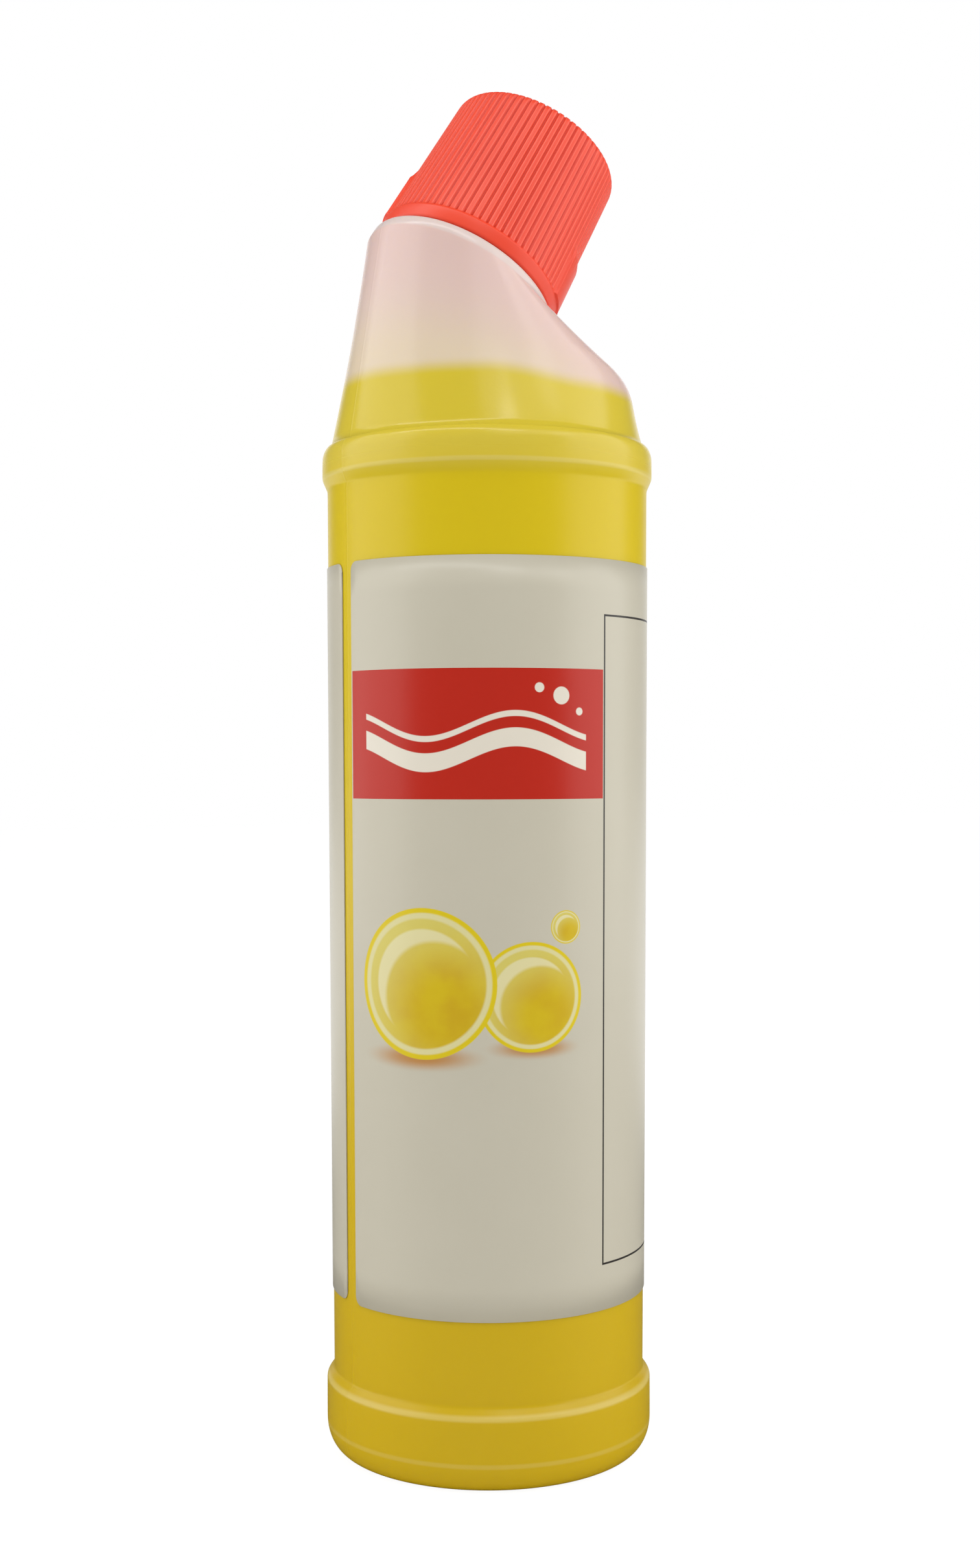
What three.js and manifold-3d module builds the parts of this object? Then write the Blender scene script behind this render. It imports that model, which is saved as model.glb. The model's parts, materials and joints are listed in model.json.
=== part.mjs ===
// A 750 ml toilet cleaner bottle with a leaning neck: blow-moulded body with two hoops, yellow gel
// inside, a wrap-around label, a squirt plug pressed into the neck and a ribbed screw cap.
// Millimetres, +Z up. The origin is the middle of the foot and the neck leans towards +X.
import * as THREE from 'three';
import Module from 'manifold-3d';
import { mergeVertices } from 'three/addons/utils/BufferGeometryUtils.js';

// Bottle: wall and foot
const FACETS = 48;
const WALL = 1.2;
const FOOT_INNER_RADIUS = 26.5;
const FOOT_RADIUS = 31;
const PUSH_UP = 4;
const PUSH_UP_SHARE = 0.8;
const BASE_HOOP_RADIUS = 35.1;
const FOOT_ROUND_HEIGHT = 6.45;
const BASE_HOOP_HEIGHT = 8.9;
const BASE_HOOP_BEVEL = 3.3;

// Bottle: body and upper hoop
const BODY_LOW_RADIUS = 33.55;
const BODY_HIGH_RADIUS = 34.6;
const BODY_HEIGHT = 188;
const TOP_HOOP_RADIUS = 35.7;
const TOP_HOOP_FLARE = 2.5;
const TOP_HOOP_HEIGHT = 3.8;
const TOP_HOOP_ROUND = 3.2;

// Bottle: shoulder, which runs from a level circle to the leaning collar
const SHOULDER_RADIUS = 33.8;
const FRONT_WALL_HEIGHT = 12.7;
const FRONT_WALL_RADIUS = 32.6;
const FRONT_CORNER_RADIUS = 6.8;
const SHOULDER_SIDE_POWER = 0.5;
const SHOULDER_BACK_POWER = 0.6;
const SHOULDER_STEPS = 13;
const INNER_SHOULDER_STEPS = 7;
const ROUND_STEPS = 4;
const INNER_ROUND_STEPS = 2;
const FILLET_STEPS = 3;
const BEND_REACH_SHARE = 0.9;

// Neck, in its own leaning frame: its origin is the middle of the cap's rim
const LEAN = 31.6;
const NECK_BACK = 6;
const NECK_RISE = 36;
const COLLAR_RADIUS = 21.7;
const COLLAR_DROP = 1.8;
const DECK_RADIUS = 20.4;
const SEAT_GAP = 0.3;
const NECK_RADIUS = 13.6;
const NECK_WALL = 1.8;
const NECK_FILLET = 1.6;
const NECK_LENGTH = 31;
const MOUTH_CHAMFER = 0.5;
const STOP_LUG_REACH = 5;
const STOP_LUG_WIDTH = 2.4;
const STOP_LUG_HEIGHT = 4.4;

// Screw thread, one start
const PITCH = 4;
const THREAD_DEPTH = 1.3;
const THREAD_ROOT_WIDTH = 2;
const THREAD_CREST_WIDTH = 0.8;
const THREAD_TURNS = 2;
const THREAD_FROM_MOUTH = 11.5;
const THREAD_CLEARANCE = 0.3;
const THREAD_SINK = 0.4;
const THREAD_STEPS = 24;
const THREAD_TAPER_STEPS = 4;

// Gel
const GEL_LEVEL = 229.65;
const GEL_CLEARANCE = 0.3;

// Label
const LABEL_HEIGHT = 155;
const LABEL_RAISE = 16.2;
const LABEL_THICKNESS = 0.17;
const LABEL_CLEARANCE = 0.08;
const LABEL_GAP = 3.9;
const LABEL_CORNER = 2;
const LABEL_CORNER_SHARES = [0, 0.06, 0.25, 0.55, 1];

// Squirt plug
const PLUG_FLANGE = 1.2;
const PLUG_FLANGE_RADIUS = 13;
const PLUG_DEPTH = 9;
const PLUG_WALL = 1.2;
const PLUG_FLOOR = 1.4;
const SPOUT_HEIGHT = 6.5;
const SPOUT_RADIUS = 3.6;
const ORIFICE_RADIUS = 2.2;

// Cap
const CAP_RIM_RADIUS = 20.65;
const CAP_BAND_RADIUS = 20.95;
const CAP_BAND_HEIGHT = 3.3;
const CAP_LOW_RADIUS = 20.6;
const CAP_HIGH_RADIUS = 19;
const CAP_CORNER = 2.2;
const CAP_WALL = 1.3;
const CAP_TOP = 1.8;
const CROWN_STEPS = 3;
const RIBS = 72;
const RIB_DEPTH = 0.45;
const GROOVE_SHARE = 0.22;
const SKIRT_WALL = 1;
const SKIRT_LENGTH = 20;
const PAD_RAISE = 0.7;
const PAD_HEIGHT = 11.6;
const PAD_CHAMFER = 0.8;
const PAD_HALF_WIDTH = 19.5;
const PAD_ANGLE = -32;
const LUG_DEPTH = 0.7;
const LUG_WIDTH = 2;
const LUG_HEIGHT = 3.5;
const LINER_THICKNESS = 1.5;
const LINER_RADIUS = 13.6;

const TURN = Math.PI * 2;
const radians = THREE.MathUtils.degToRad;

// Heights that follow from the driving dimensions
const hoopBottom = FOOT_ROUND_HEIGHT;
const hoopTop = hoopBottom + BASE_HOOP_HEIGHT;
const bodyBottom = hoopTop + BASE_HOOP_BEVEL;
const bodyTop = bodyBottom + BODY_HEIGHT;
const upperHoopBottom = bodyTop + TOP_HOOP_FLARE;
const upperHoopTop = upperHoopBottom + TOP_HOOP_HEIGHT;
const shoulderBottom = upperHoopTop + TOP_HOOP_ROUND;
const neckOrigin = new THREE.Vector3(-NECK_BACK, 0, shoulderBottom + NECK_RISE);
const lean = radians(LEAN);
const neckBore = NECK_RADIUS - NECK_WALL;
const flangeBottom = NECK_LENGTH + SEAT_GAP;
const linerBottom = flangeBottom + PLUG_FLANGE + SEAT_GAP;
const skirtRadius = NECK_RADIUS + THREAD_DEPTH + THREAD_CLEARANCE;
const capCeiling = linerBottom + LINER_THICKNESS + SEAT_GAP;
const capHeight = capCeiling + CAP_TOP;

// Solids and booleans
const wasm = await Module();
wasm.setup();

function toSolid(geometry) {
  const bare = geometry.clone();
  bare.deleteAttribute('normal');
  bare.deleteAttribute('uv');
  const merged = mergeVertices(bare, 1e-5);
  return new wasm.Manifold(new wasm.Mesh({
    numProp: 3,
    vertProperties: new Float32Array(merged.attributes.position.array),
    triVerts: new Uint32Array(merged.index.array),
  }));
}

function toGeometry(solid) {
  const mesh = solid.getMesh();
  const geometry = new THREE.BufferGeometry();
  geometry.setAttribute('position', new THREE.BufferAttribute(mesh.vertProperties, 3));
  geometry.setIndex(new THREE.BufferAttribute(mesh.triVerts, 1));
  geometry.computeVertexNormals();
  return geometry;
}

// A closed skin over a list of rings. Each ring holds the same number of points, anticlockwise seen
// from above for a rising outer wall; the first and the last ring are closed to their middle.
function skin(rings) {
  const count = rings[0].length;
  const positions = [];
  const faces = [];
  for (const ring of rings) {
    for (const point of ring) {
      positions.push(point.x, point.y, point.z);
    }
  }
  for (let row = 0; row + 1 < rings.length; row += 1) {
    for (let i = 0; i < count; i += 1) {
      const next = (i + 1) % count;
      const a = row * count + i;
      const b = row * count + next;
      const c = a + count;
      const d = b + count;
      faces.push(a, b, d, a, d, c);
    }
  }
  const addPole = (ring, first, flip) => {
    const middle = new THREE.Vector3();
    ring.forEach((point) => middle.add(point));
    middle.divideScalar(count);
    const pole = positions.length / 3;
    positions.push(middle.x, middle.y, middle.z);
    for (let i = 0; i < count; i += 1) {
      const next = (i + 1) % count;
      faces.push(...(flip ? [first + next, first + i, pole] : [first + i, first + next, pole]));
    }
  };
  addPole(rings[0], 0, true);
  addPole(rings[rings.length - 1], (rings.length - 1) * count, false);
  const geometry = new THREE.BufferGeometry();
  geometry.setAttribute('position', new THREE.BufferAttribute(new Float32Array(positions), 3));
  geometry.setIndex(faces);
  geometry.computeVertexNormals();
  return geometry;
}

// A profile of [radius, height] turned round Z. It starts and ends on the axis or closes on itself.
function turned(profile) {
  const points = profile.map(([radius, height]) => new THREE.Vector2(radius, height));
  return new THREE.LatheGeometry(points, FACETS).rotateX(Math.PI / 2);
}

// A quarter-round between two [radius, height] ends, tangent to the upright at its first end and to
// the level at its second, without those ends.
function quarterRound([r0, h0], [r1, h1], steps) {
  const points = [];
  for (let i = 1; i < steps; i += 1) {
    const angle = (i / steps) * (Math.PI / 2);
    points.push([r1 + (r0 - r1) * Math.cos(angle), h0 + (h1 - h0) * Math.sin(angle)]);
  }
  return points;
}

function circle(radius, height) {
  return Array.from({ length: FACETS }, (_, i) => {
    const angle = (i / FACETS) * TURN;
    return new THREE.Vector3(radius * Math.cos(angle), radius * Math.sin(angle), height);
  });
}

// Turns a point of the leaning neck frame into the bottle's frame
function leanPoint(point) {
  return point.clone().applyAxisAngle(new THREE.Vector3(0, 1, 0), lean).add(neckOrigin);
}

// Bottle

// The level part from the foot to the shoulder, set inwards by the inset
function bodyProfile(inset) {
  const steps = inset > 0 ? INNER_ROUND_STEPS : ROUND_STEPS;
  const footTop = [BASE_HOOP_RADIUS - inset, hoopBottom];
  const foot = [FOOT_RADIUS - inset / 2, inset];
  const hoopEdge = [BASE_HOOP_RADIUS - inset, hoopTop];
  const body = [BODY_LOW_RADIUS - inset, bodyBottom];
  const upperEdge = [TOP_HOOP_RADIUS - inset, upperHoopTop];
  const shoulder = [SHOULDER_RADIUS - inset, shoulderBottom];
  return [
    [FOOT_INNER_RADIUS / 2, PUSH_UP * PUSH_UP_SHARE + inset],
    [FOOT_INNER_RADIUS - inset / 2, inset],
    foot,
    ...quarterRound(footTop, foot, steps).reverse(),
    footTop,
    hoopEdge,
    ...quarterRound(hoopEdge, body, steps),
    body,
    [BODY_HIGH_RADIUS - inset, bodyTop],
    [TOP_HOOP_RADIUS - inset, upperHoopBottom],
    upperEdge,
    ...quarterRound(upperEdge, shoulder, steps),
    shoulder,
  ];
}

// Points along a line with one rounded corner, evenly by length
function roundedPath(start, corner, end, radius, steps) {
  const before = start.clone().sub(corner);
  const after = end.clone().sub(corner);
  const half = before.angleTo(after) / 2;
  const reach = Math.min(
    radius / Math.tan(half), before.length() * BEND_REACH_SHARE, after.length() * BEND_REACH_SHARE,
  );
  const path = new THREE.CurvePath();
  const bendStart = corner.clone().addScaledVector(before.normalize(), reach);
  const bendEnd = corner.clone().addScaledVector(after.normalize(), reach);
  path.add(new THREE.LineCurve3(start, bendStart));
  path.add(new THREE.QuadraticBezierCurve3(bendStart, corner, bendEnd));
  path.add(new THREE.LineCurve3(bendEnd, end));
  return Array.from({ length: steps + 1 }, (_, i) => path.getPointAt(i / steps));
}

// The shoulder is a loft: the front rail climbs a short wall, turns over a rounded corner and runs up
// to the collar; the back rail is one straight line; each section between them is an oval.
function shoulderRings(inset) {
  const steps = inset > 0 ? INNER_SHOULDER_STEPS : SHOULDER_STEPS;
  const base = SHOULDER_RADIUS - inset;
  const collar = COLLAR_RADIUS - inset;
  const cornerPoint = new THREE.Vector3(
    FRONT_WALL_RADIUS - inset, 0, shoulderBottom + FRONT_WALL_HEIGHT - inset / 2,
  );
  const collarHeight = -COLLAR_DROP - inset / 2;
  const frontEnd = leanPoint(new THREE.Vector3(collar, 0, collarHeight));
  const backEnd = leanPoint(new THREE.Vector3(-collar, 0, collarHeight));
  const frontStart = new THREE.Vector3(base, 0, shoulderBottom);
  const backStart = new THREE.Vector3(-base, 0, shoulderBottom);
  const front = roundedPath(frontStart, cornerPoint, frontEnd, FRONT_CORNER_RADIUS, steps);
  const rings = [];
  for (let step = 1; step <= steps; step += 1) {
    const share = step / steps;
    const back = backStart.clone().lerp(backEnd, share ** SHOULDER_BACK_POWER);
    const halfWidth = base + (collar - base) * share ** SHOULDER_SIDE_POWER;
    const middle = front[step].clone().add(back).multiplyScalar(0.5);
    const reach = front[step].clone().sub(back).multiplyScalar(0.5);
    rings.push(Array.from({ length: FACETS }, (_, i) => {
      const angle = (i / FACETS) * TURN;
      const point = middle.clone().addScaledVector(reach, Math.cos(angle));
      point.y = halfWidth * Math.sin(angle);
      return point;
    }));
  }
  return rings;
}

function leaningRings(profile) {
  return profile.map(([radius, height]) => circle(radius, height).map(leanPoint));
}

function helixRidge(rootRadius, depth, bottom, turns) {
  const steps = Math.round(turns * THREAD_STEPS);
  const outward = Math.sign(depth);
  const rings = [];
  for (let i = 0; i <= steps; i += 1) {
    const angle = (i / THREAD_STEPS) * TURN;
    const height = bottom + (i / THREAD_STEPS) * PITCH;
    const taper = Math.min(1, Math.min(i, steps - i) / THREAD_TAPER_STEPS);
    const sunk = rootRadius - outward * THREAD_SINK;
    const crest = rootRadius + depth * taper;
    const halfRoot = THREAD_ROOT_WIDTH / 2;
    const halfCrest = THREAD_CREST_WIDTH / 2;
    const section = [
      [sunk, -halfRoot * outward],
      [crest, -halfCrest * outward],
      [crest, halfCrest * outward],
      [sunk, halfRoot * outward],
    ];
    rings.push(section.map(([radius, rise]) => new THREE.Vector3(
      radius * Math.cos(angle), radius * Math.sin(angle), height + rise,
    )));
  }
  return toSolid(skin(rings.reverse()));
}

function blockAt(radiusFrom, radiusTo, width, bottom, height, angle) {
  const block = new THREE.BoxGeometry(radiusTo - radiusFrom, width, height);
  block.translate((radiusFrom + radiusTo) / 2, 0, bottom + height / 2);
  block.rotateZ(angle);
  return toSolid(block);
}

function makeBottle() {
  const deckEdge = [DECK_RADIUS, -SEAT_GAP];
  const filletFoot = [NECK_RADIUS + NECK_FILLET, -SEAT_GAP];
  const filletTop = [NECK_RADIUS, NECK_FILLET];
  const outerNeck = [
    ...quarterRound([COLLAR_RADIUS, -COLLAR_DROP], deckEdge, FILLET_STEPS),
    deckEdge,
    filletFoot,
    ...quarterRound(filletTop, filletFoot, FILLET_STEPS).reverse(),
    filletTop,
    [NECK_RADIUS, NECK_LENGTH - MOUTH_CHAMFER],
    [NECK_RADIUS - MOUTH_CHAMFER, NECK_LENGTH],
  ];
  const innerNeck = [
    [neckBore, NECK_LENGTH],
    [neckBore, -SEAT_GAP - WALL],
    [DECK_RADIUS - WALL, -SEAT_GAP - WALL],
  ];
  const rings = [
    ...bodyProfile(0).map(([radius, height]) => circle(radius, height)),
    ...shoulderRings(0),
    ...leaningRings([...outerNeck, ...innerNeck]),
    ...shoulderRings(WALL).reverse(),
    ...bodyProfile(WALL).reverse().map(([radius, height]) => circle(radius, height)),
  ];
  let solid = toSolid(skin(rings));
  const place = new THREE.Matrix4().makeRotationY(lean).setPosition(neckOrigin);
  const threadBottom = NECK_LENGTH - THREAD_FROM_MOUTH;
  const fittings = [
    helixRidge(NECK_RADIUS, THREAD_DEPTH, threadBottom, THREAD_TURNS),
    ...[0, Math.PI].map((angle) => blockAt(
      NECK_RADIUS - THREAD_SINK, NECK_RADIUS + STOP_LUG_REACH, STOP_LUG_WIDTH,
      -SEAT_GAP - WALL / 2, STOP_LUG_HEIGHT, angle,
    )),
  ];
  for (const fitting of fittings) {
    solid = solid.add(fitting.transform(place.elements));
  }
  return toGeometry(solid);
}

function makeGel() {
  const inset = WALL + GEL_CLEARANCE;
  const filled = toSolid(skin([
    ...bodyProfile(inset).map(([radius, height]) => circle(radius, height)),
    ...shoulderRings(inset),
  ]));
  const below = new THREE.BoxGeometry(4 * BASE_HOOP_RADIUS, 4 * BASE_HOOP_RADIUS, GEL_LEVEL);
  below.translate(0, 0, GEL_LEVEL / 2);
  return toGeometry(filled.intersect(toSolid(below)));
}

// Label: a bent sheet on the bottle's own facets, with rounded corners at its two ends
function bodyRadiusAt(height) {
  const share = (height - bodyBottom) / BODY_HEIGHT;
  return BODY_LOW_RADIUS + (BODY_HIGH_RADIUS - BODY_LOW_RADIUS) * share;
}

function facetPoint(angle, height, lift) {
  const half = Math.PI / FACETS;
  const within = THREE.MathUtils.euclideanModulo(angle, 2 * half) - half;
  const radius = (bodyRadiusAt(height) + lift) * (Math.cos(half) / Math.cos(within));
  return new THREE.Vector3(radius * Math.cos(angle), radius * Math.sin(angle), height);
}

function makeLabel() {
  const bottom = bodyBottom + LABEL_RAISE;
  const top = bottom + LABEL_HEIGHT;
  const radius = bodyRadiusAt((bottom + top) / 2);
  const halfGap = LABEL_GAP / 2 / radius;
  const start = -Math.PI + halfGap;
  const end = Math.PI - halfGap;
  const corner = LABEL_CORNER / radius;
  const cornerAngles = LABEL_CORNER_SHARES.map((share) => share * corner);
  const angles = new Set(cornerAngles.flatMap((angle) => [start + angle, end - angle]));
  for (let i = -FACETS / 2; i <= FACETS / 2; i += 1) {
    const angle = (i / FACETS) * TURN;
    if (angle > start + corner && angle < end - corner) {
      angles.add(angle);
    }
  }
  const rings = [...angles].sort((a, b) => a - b).map((angle) => {
    const fromEnd = Math.min(angle - start, end - angle) * radius;
    const away = Math.max(0, LABEL_CORNER - fromEnd);
    const cut = LABEL_CORNER - Math.sqrt(LABEL_CORNER ** 2 - away ** 2);
    const inner = LABEL_CLEARANCE;
    const outer = LABEL_CLEARANCE + LABEL_THICKNESS;
    return [
      facetPoint(angle, bottom + cut, inner),
      facetPoint(angle, bottom + cut, outer),
      facetPoint(angle, top - cut, outer),
      facetPoint(angle, top - cut, inner),
    ];
  });
  return skin(rings.reverse());
}

// Squirt plug: a flange on the mouth, a cup that grips the bore and a small spout in its floor
function makePlug() {
  const outer = neckBore - SEAT_GAP;
  const inner = outer - PLUG_WALL;
  const floorBottom = flangeBottom - PLUG_DEPTH;
  const floorTop = floorBottom + PLUG_FLOOR;
  const flangeTop = flangeBottom + PLUG_FLANGE;
  const spoutTop = floorTop + SPOUT_HEIGHT;
  return turned([
    [ORIFICE_RADIUS, floorBottom],
    [outer - MOUTH_CHAMFER, floorBottom],
    [outer, floorBottom + MOUTH_CHAMFER],
    [outer, flangeBottom],
    [PLUG_FLANGE_RADIUS, flangeBottom],
    [PLUG_FLANGE_RADIUS, flangeTop],
    [inner, flangeTop],
    [inner, floorTop],
    [SPOUT_RADIUS, floorTop],
    [SPOUT_RADIUS - MOUTH_CHAMFER, spoutTop],
    [ORIFICE_RADIUS, spoutTop],
    [ORIFICE_RADIUS, floorBottom],
  ]);
}

// Cap: each rib takes three points of a ring, one in the groove and two on the crest

function capRadiusAt(height) {
  const share = (height - CAP_BAND_HEIGHT) / (capHeight - CAP_BAND_HEIGHT);
  return CAP_LOW_RADIUS + (CAP_HIGH_RADIUS - CAP_LOW_RADIUS) * share;
}

function capRing(height, radius, grooveDepth, padRaise) {
  const pads = [radians(PAD_ANGLE), radians(PAD_ANGLE) + Math.PI];
  const halfPad = radians(PAD_HALF_WIDTH);
  const ring = [];
  for (let rib = 0; rib < RIBS; rib += 1) {
    for (const place of [0, GROOVE_SHARE, 1 - GROOVE_SHARE]) {
      const angle = ((rib + place) / RIBS) * TURN;
      const offPad = Math.min(...pads.map((pad) => {
        const turn = THREE.MathUtils.euclideanModulo(angle - pad + Math.PI, TURN) - Math.PI;
        return Math.abs(turn);
      }));
      const onPad = padRaise > 0 && offPad < halfPad;
      const inGroove = place === 0 && !onPad;
      const reach = radius + (onPad ? padRaise : 0) - (inGroove ? grooveDepth : 0);
      ring.push(new THREE.Vector3(reach * Math.cos(angle), reach * Math.sin(angle), height));
    }
  }
  return ring;
}

function makeCap() {
  const padTop = CAP_BAND_HEIGHT + PAD_HEIGHT;
  const cornerStart = capHeight - CAP_CORNER;
  const edge = [capRadiusAt(cornerStart), cornerStart];
  const crown = [CAP_HIGH_RADIUS - CAP_CORNER, capHeight];
  const rings = [
    capRing(0, CAP_RIM_RADIUS - MOUTH_CHAMFER, 0, 0),
    capRing(MOUTH_CHAMFER, CAP_RIM_RADIUS, 0, 0),
    capRing(CAP_BAND_HEIGHT - RIB_DEPTH, CAP_BAND_RADIUS, 0, 0),
    capRing(CAP_BAND_HEIGHT, capRadiusAt(CAP_BAND_HEIGHT), RIB_DEPTH, PAD_RAISE),
    capRing(padTop - PAD_CHAMFER, capRadiusAt(padTop - PAD_CHAMFER), RIB_DEPTH, PAD_RAISE),
    capRing(padTop, capRadiusAt(padTop), RIB_DEPTH, 0),
    capRing(cornerStart, capRadiusAt(cornerStart), RIB_DEPTH, 0),
    ...quarterRound(edge, crown, CROWN_STEPS).map(
      ([radius, height]) => capRing(height, radius, RIB_DEPTH / 2, 0),
    ),
    capRing(capHeight, crown[0], 0, 0),
  ];
  const shellInside = (height) => capRadiusAt(height) - RIB_DEPTH - CAP_WALL;
  const cavity = toSolid(turned([
    [0, -MOUTH_CHAMFER],
    [shellInside(-MOUTH_CHAMFER), -MOUTH_CHAMFER],
    [shellInside(capCeiling), capCeiling],
    [0, capCeiling],
  ]));
  const skirtBottom = capCeiling - SKIRT_LENGTH;
  const skirt = toSolid(turned([
    [skirtRadius, skirtBottom],
    [skirtRadius + SKIRT_WALL, skirtBottom],
    [skirtRadius + SKIRT_WALL, capCeiling + CAP_TOP / 2],
    [skirtRadius, capCeiling + CAP_TOP / 2],
    [skirtRadius, skirtBottom],
  ]));
  const threadBottom = NECK_LENGTH - THREAD_FROM_MOUTH - PITCH / 2;
  let solid = toSolid(skin(rings)).subtract(cavity).add(skirt);
  const threadDepth = THREAD_DEPTH - THREAD_CLEARANCE;
  solid = solid.add(helixRidge(skirtRadius, -threadDepth, threadBottom, THREAD_TURNS));
  for (const angle of [Math.PI / 2, -Math.PI / 2]) {
    const wallInside = shellInside(LUG_HEIGHT);
    solid = solid.add(blockAt(
      wallInside - LUG_DEPTH, wallInside + CAP_WALL / 2, LUG_WIDTH, MOUTH_CHAMFER, LUG_HEIGHT, angle,
    ));
  }
  return toGeometry(solid);
}

function makeLiner() {
  return turned([
    [0, linerBottom],
    [LINER_RADIUS, linerBottom],
    [LINER_RADIUS, linerBottom + LINER_THICKNESS],
    [0, linerBottom + LINER_THICKNESS],
  ]);
}

// Colours and finishes
const naturalPlastic = new THREE.MeshStandardMaterial({ color: 0xe6dcc4, roughness: 0.35, metalness: 0 });
const yellowGel = new THREE.MeshStandardMaterial({ color: 0xd6bd28, roughness: 0.25, metalness: 0 });
const labelFilm = new THREE.MeshStandardMaterial({ color: 0xd2ccbc, roughness: 0.4, metalness: 0 });
const whitePlastic = new THREE.MeshStandardMaterial({ color: 0xf2f2ee, roughness: 0.45, metalness: 0 });
const redPlastic = new THREE.MeshStandardMaterial({ color: 0xd8381f, roughness: 0.35, metalness: 0 });
const foamWhite = new THREE.MeshStandardMaterial({ color: 0xf7f7f5, roughness: 0.8, metalness: 0 });

function piece(name, geometry, material) {
  const mesh = new THREE.Mesh(geometry, material);
  mesh.name = name;
  return mesh;
}

const bottleGroup = new THREE.Group();
bottleGroup.add(piece('bottle', makeBottle(), naturalPlastic));
bottleGroup.add(piece('gel_fill', makeGel(), yellowGel));
bottleGroup.add(piece('label', makeLabel(), labelFilm));

const neckGroup = new THREE.Group();
neckGroup.position.copy(neckOrigin);
neckGroup.rotation.y = lean;
neckGroup.add(piece('nozzle_insert', makePlug(), whitePlastic));
neckGroup.add(piece('cap', makeCap(), redPlastic));
neckGroup.add(piece('cap_liner', makeLiner(), foamWhite));
bottleGroup.add(neckGroup);

export default bottleGroup;
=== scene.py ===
# %% [markdown]
# A toilet cleaner bottle: a blow-moulded plastic bottle with a leaning neck, full of yellow gel,
# with a wrap-around film label and a ribbed red screw cap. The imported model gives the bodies, the
# joints and the places. Its solids could be coloured as they are, but their facets would show, so
# this script gives each piece a finer surface in the same place, and then its finish.

# %% Load the frame and note its size
import json
import math
import bpy
import numpy as np
from mathutils import Matrix, Vector


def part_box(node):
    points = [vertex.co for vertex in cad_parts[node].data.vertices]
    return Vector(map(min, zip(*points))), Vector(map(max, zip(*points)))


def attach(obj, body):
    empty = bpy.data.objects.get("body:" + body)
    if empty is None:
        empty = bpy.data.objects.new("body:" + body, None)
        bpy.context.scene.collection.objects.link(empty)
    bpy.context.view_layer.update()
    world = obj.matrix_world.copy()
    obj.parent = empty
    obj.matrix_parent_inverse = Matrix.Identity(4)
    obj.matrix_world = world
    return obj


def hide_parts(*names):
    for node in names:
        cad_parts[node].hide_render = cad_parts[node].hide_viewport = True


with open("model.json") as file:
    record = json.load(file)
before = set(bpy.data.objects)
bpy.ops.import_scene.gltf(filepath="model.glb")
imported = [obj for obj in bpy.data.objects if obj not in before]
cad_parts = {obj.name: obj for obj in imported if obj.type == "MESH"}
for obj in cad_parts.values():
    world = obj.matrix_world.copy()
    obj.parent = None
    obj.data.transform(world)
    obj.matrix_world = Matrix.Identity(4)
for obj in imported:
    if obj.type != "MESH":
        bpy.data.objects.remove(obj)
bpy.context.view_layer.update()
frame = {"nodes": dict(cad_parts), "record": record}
MM, CM = 0.001, 0.01

# %% [markdown]
# Nearly every piece of a bottle is round: a section carried about an axis. Blender's Screw modifier
# could do that, but threads, ribs and a leaning shoulder change the surface as it goes round. So
# each piece here is a grid of points, with rows that follow the section and columns that go round,
# and one helper turns any such grid into a mesh. The columns always join up, and the first and last
# rows may close to a pole, so that the skin has no hole.

# %% Grids into meshes
def grid_mesh(name, points, poles=(None, None), loop=False, more_faces=()):
    """Make a skin of quads from points[row, column], with the columns joined round.

    A vertex has index row * columns + column. Each quad joins four neighbours, anticlockwise seen
    from outside when the rows climb and the columns turn anticlockwise. A pole, where one is given,
    is a point that the first or the last row is joined to by triangles. With loop the last row is
    joined to the first.
    """
    rows, columns = points.shape[:2]
    index = np.arange(rows * columns).reshape(rows, columns)
    if loop:
        index = np.vstack([index, index[:1]])
    after = np.roll(index, -1, axis=1)
    quads = np.stack([index[:-1], after[:-1], after[1:], index[1:]], axis=-1).reshape(-1, 4)
    faces = quads.tolist() + list(more_faces)
    vertices = points.reshape(-1, 3)
    for pole, row, turn in ((poles[0], 0, -1), (poles[1], rows - 1, 1)):
        if pole is not None:
            middle = np.full(columns, len(vertices))
            vertices = np.vstack([vertices, pole])
            faces += np.stack([index[row], after[row], middle], axis=-1)[:, ::turn].tolist()
    return add_piece(name, vertices * MM, faces)


def add_piece(name, vertices, faces):
    """Put vertices and faces into a smooth mesh object and print its size and volume.

    The volume of a closed skin is the sum of a . (b x c) / 6 over its triangles.
    """
    mesh = bpy.data.meshes.new(name)
    mesh.from_pydata(vertices.tolist(), [], faces)
    mesh.shade_smooth()
    mesh.calc_loop_triangles()
    triangles = len(mesh.loop_triangles)
    corners = np.empty(triangles * 3, dtype=np.int32)
    mesh.loop_triangles.foreach_get("vertices", corners)
    a, b, c = vertices[corners.reshape(-1, 3)].transpose(1, 0, 2)
    volume = np.sum(a * np.cross(b, c)) / 6 / CM ** 3
    piece = bpy.data.objects.new(name, mesh)
    bpy.context.scene.collection.objects.link(piece)
    print(name, "has", triangles, "triangles and holds", round(float(volume), 2), "cm3")
    return piece


# %% [markdown]
# The sections are lines of radius and height. Moulded plastic has no sharp edge, and a sharp one
# would look cut from card. A Bevel modifier could round the edges, but its width breaks down where
# edges lie close together. So the line itself is smoothed before it is turned, and most of its rows
# go to the bends, where a coarse grid would show.

# %% Sections and their rounding
SAMPLES_PER_REACH, BELL_SAMPLES, BEND_UNIT = 4, 5, math.radians(5)


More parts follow.
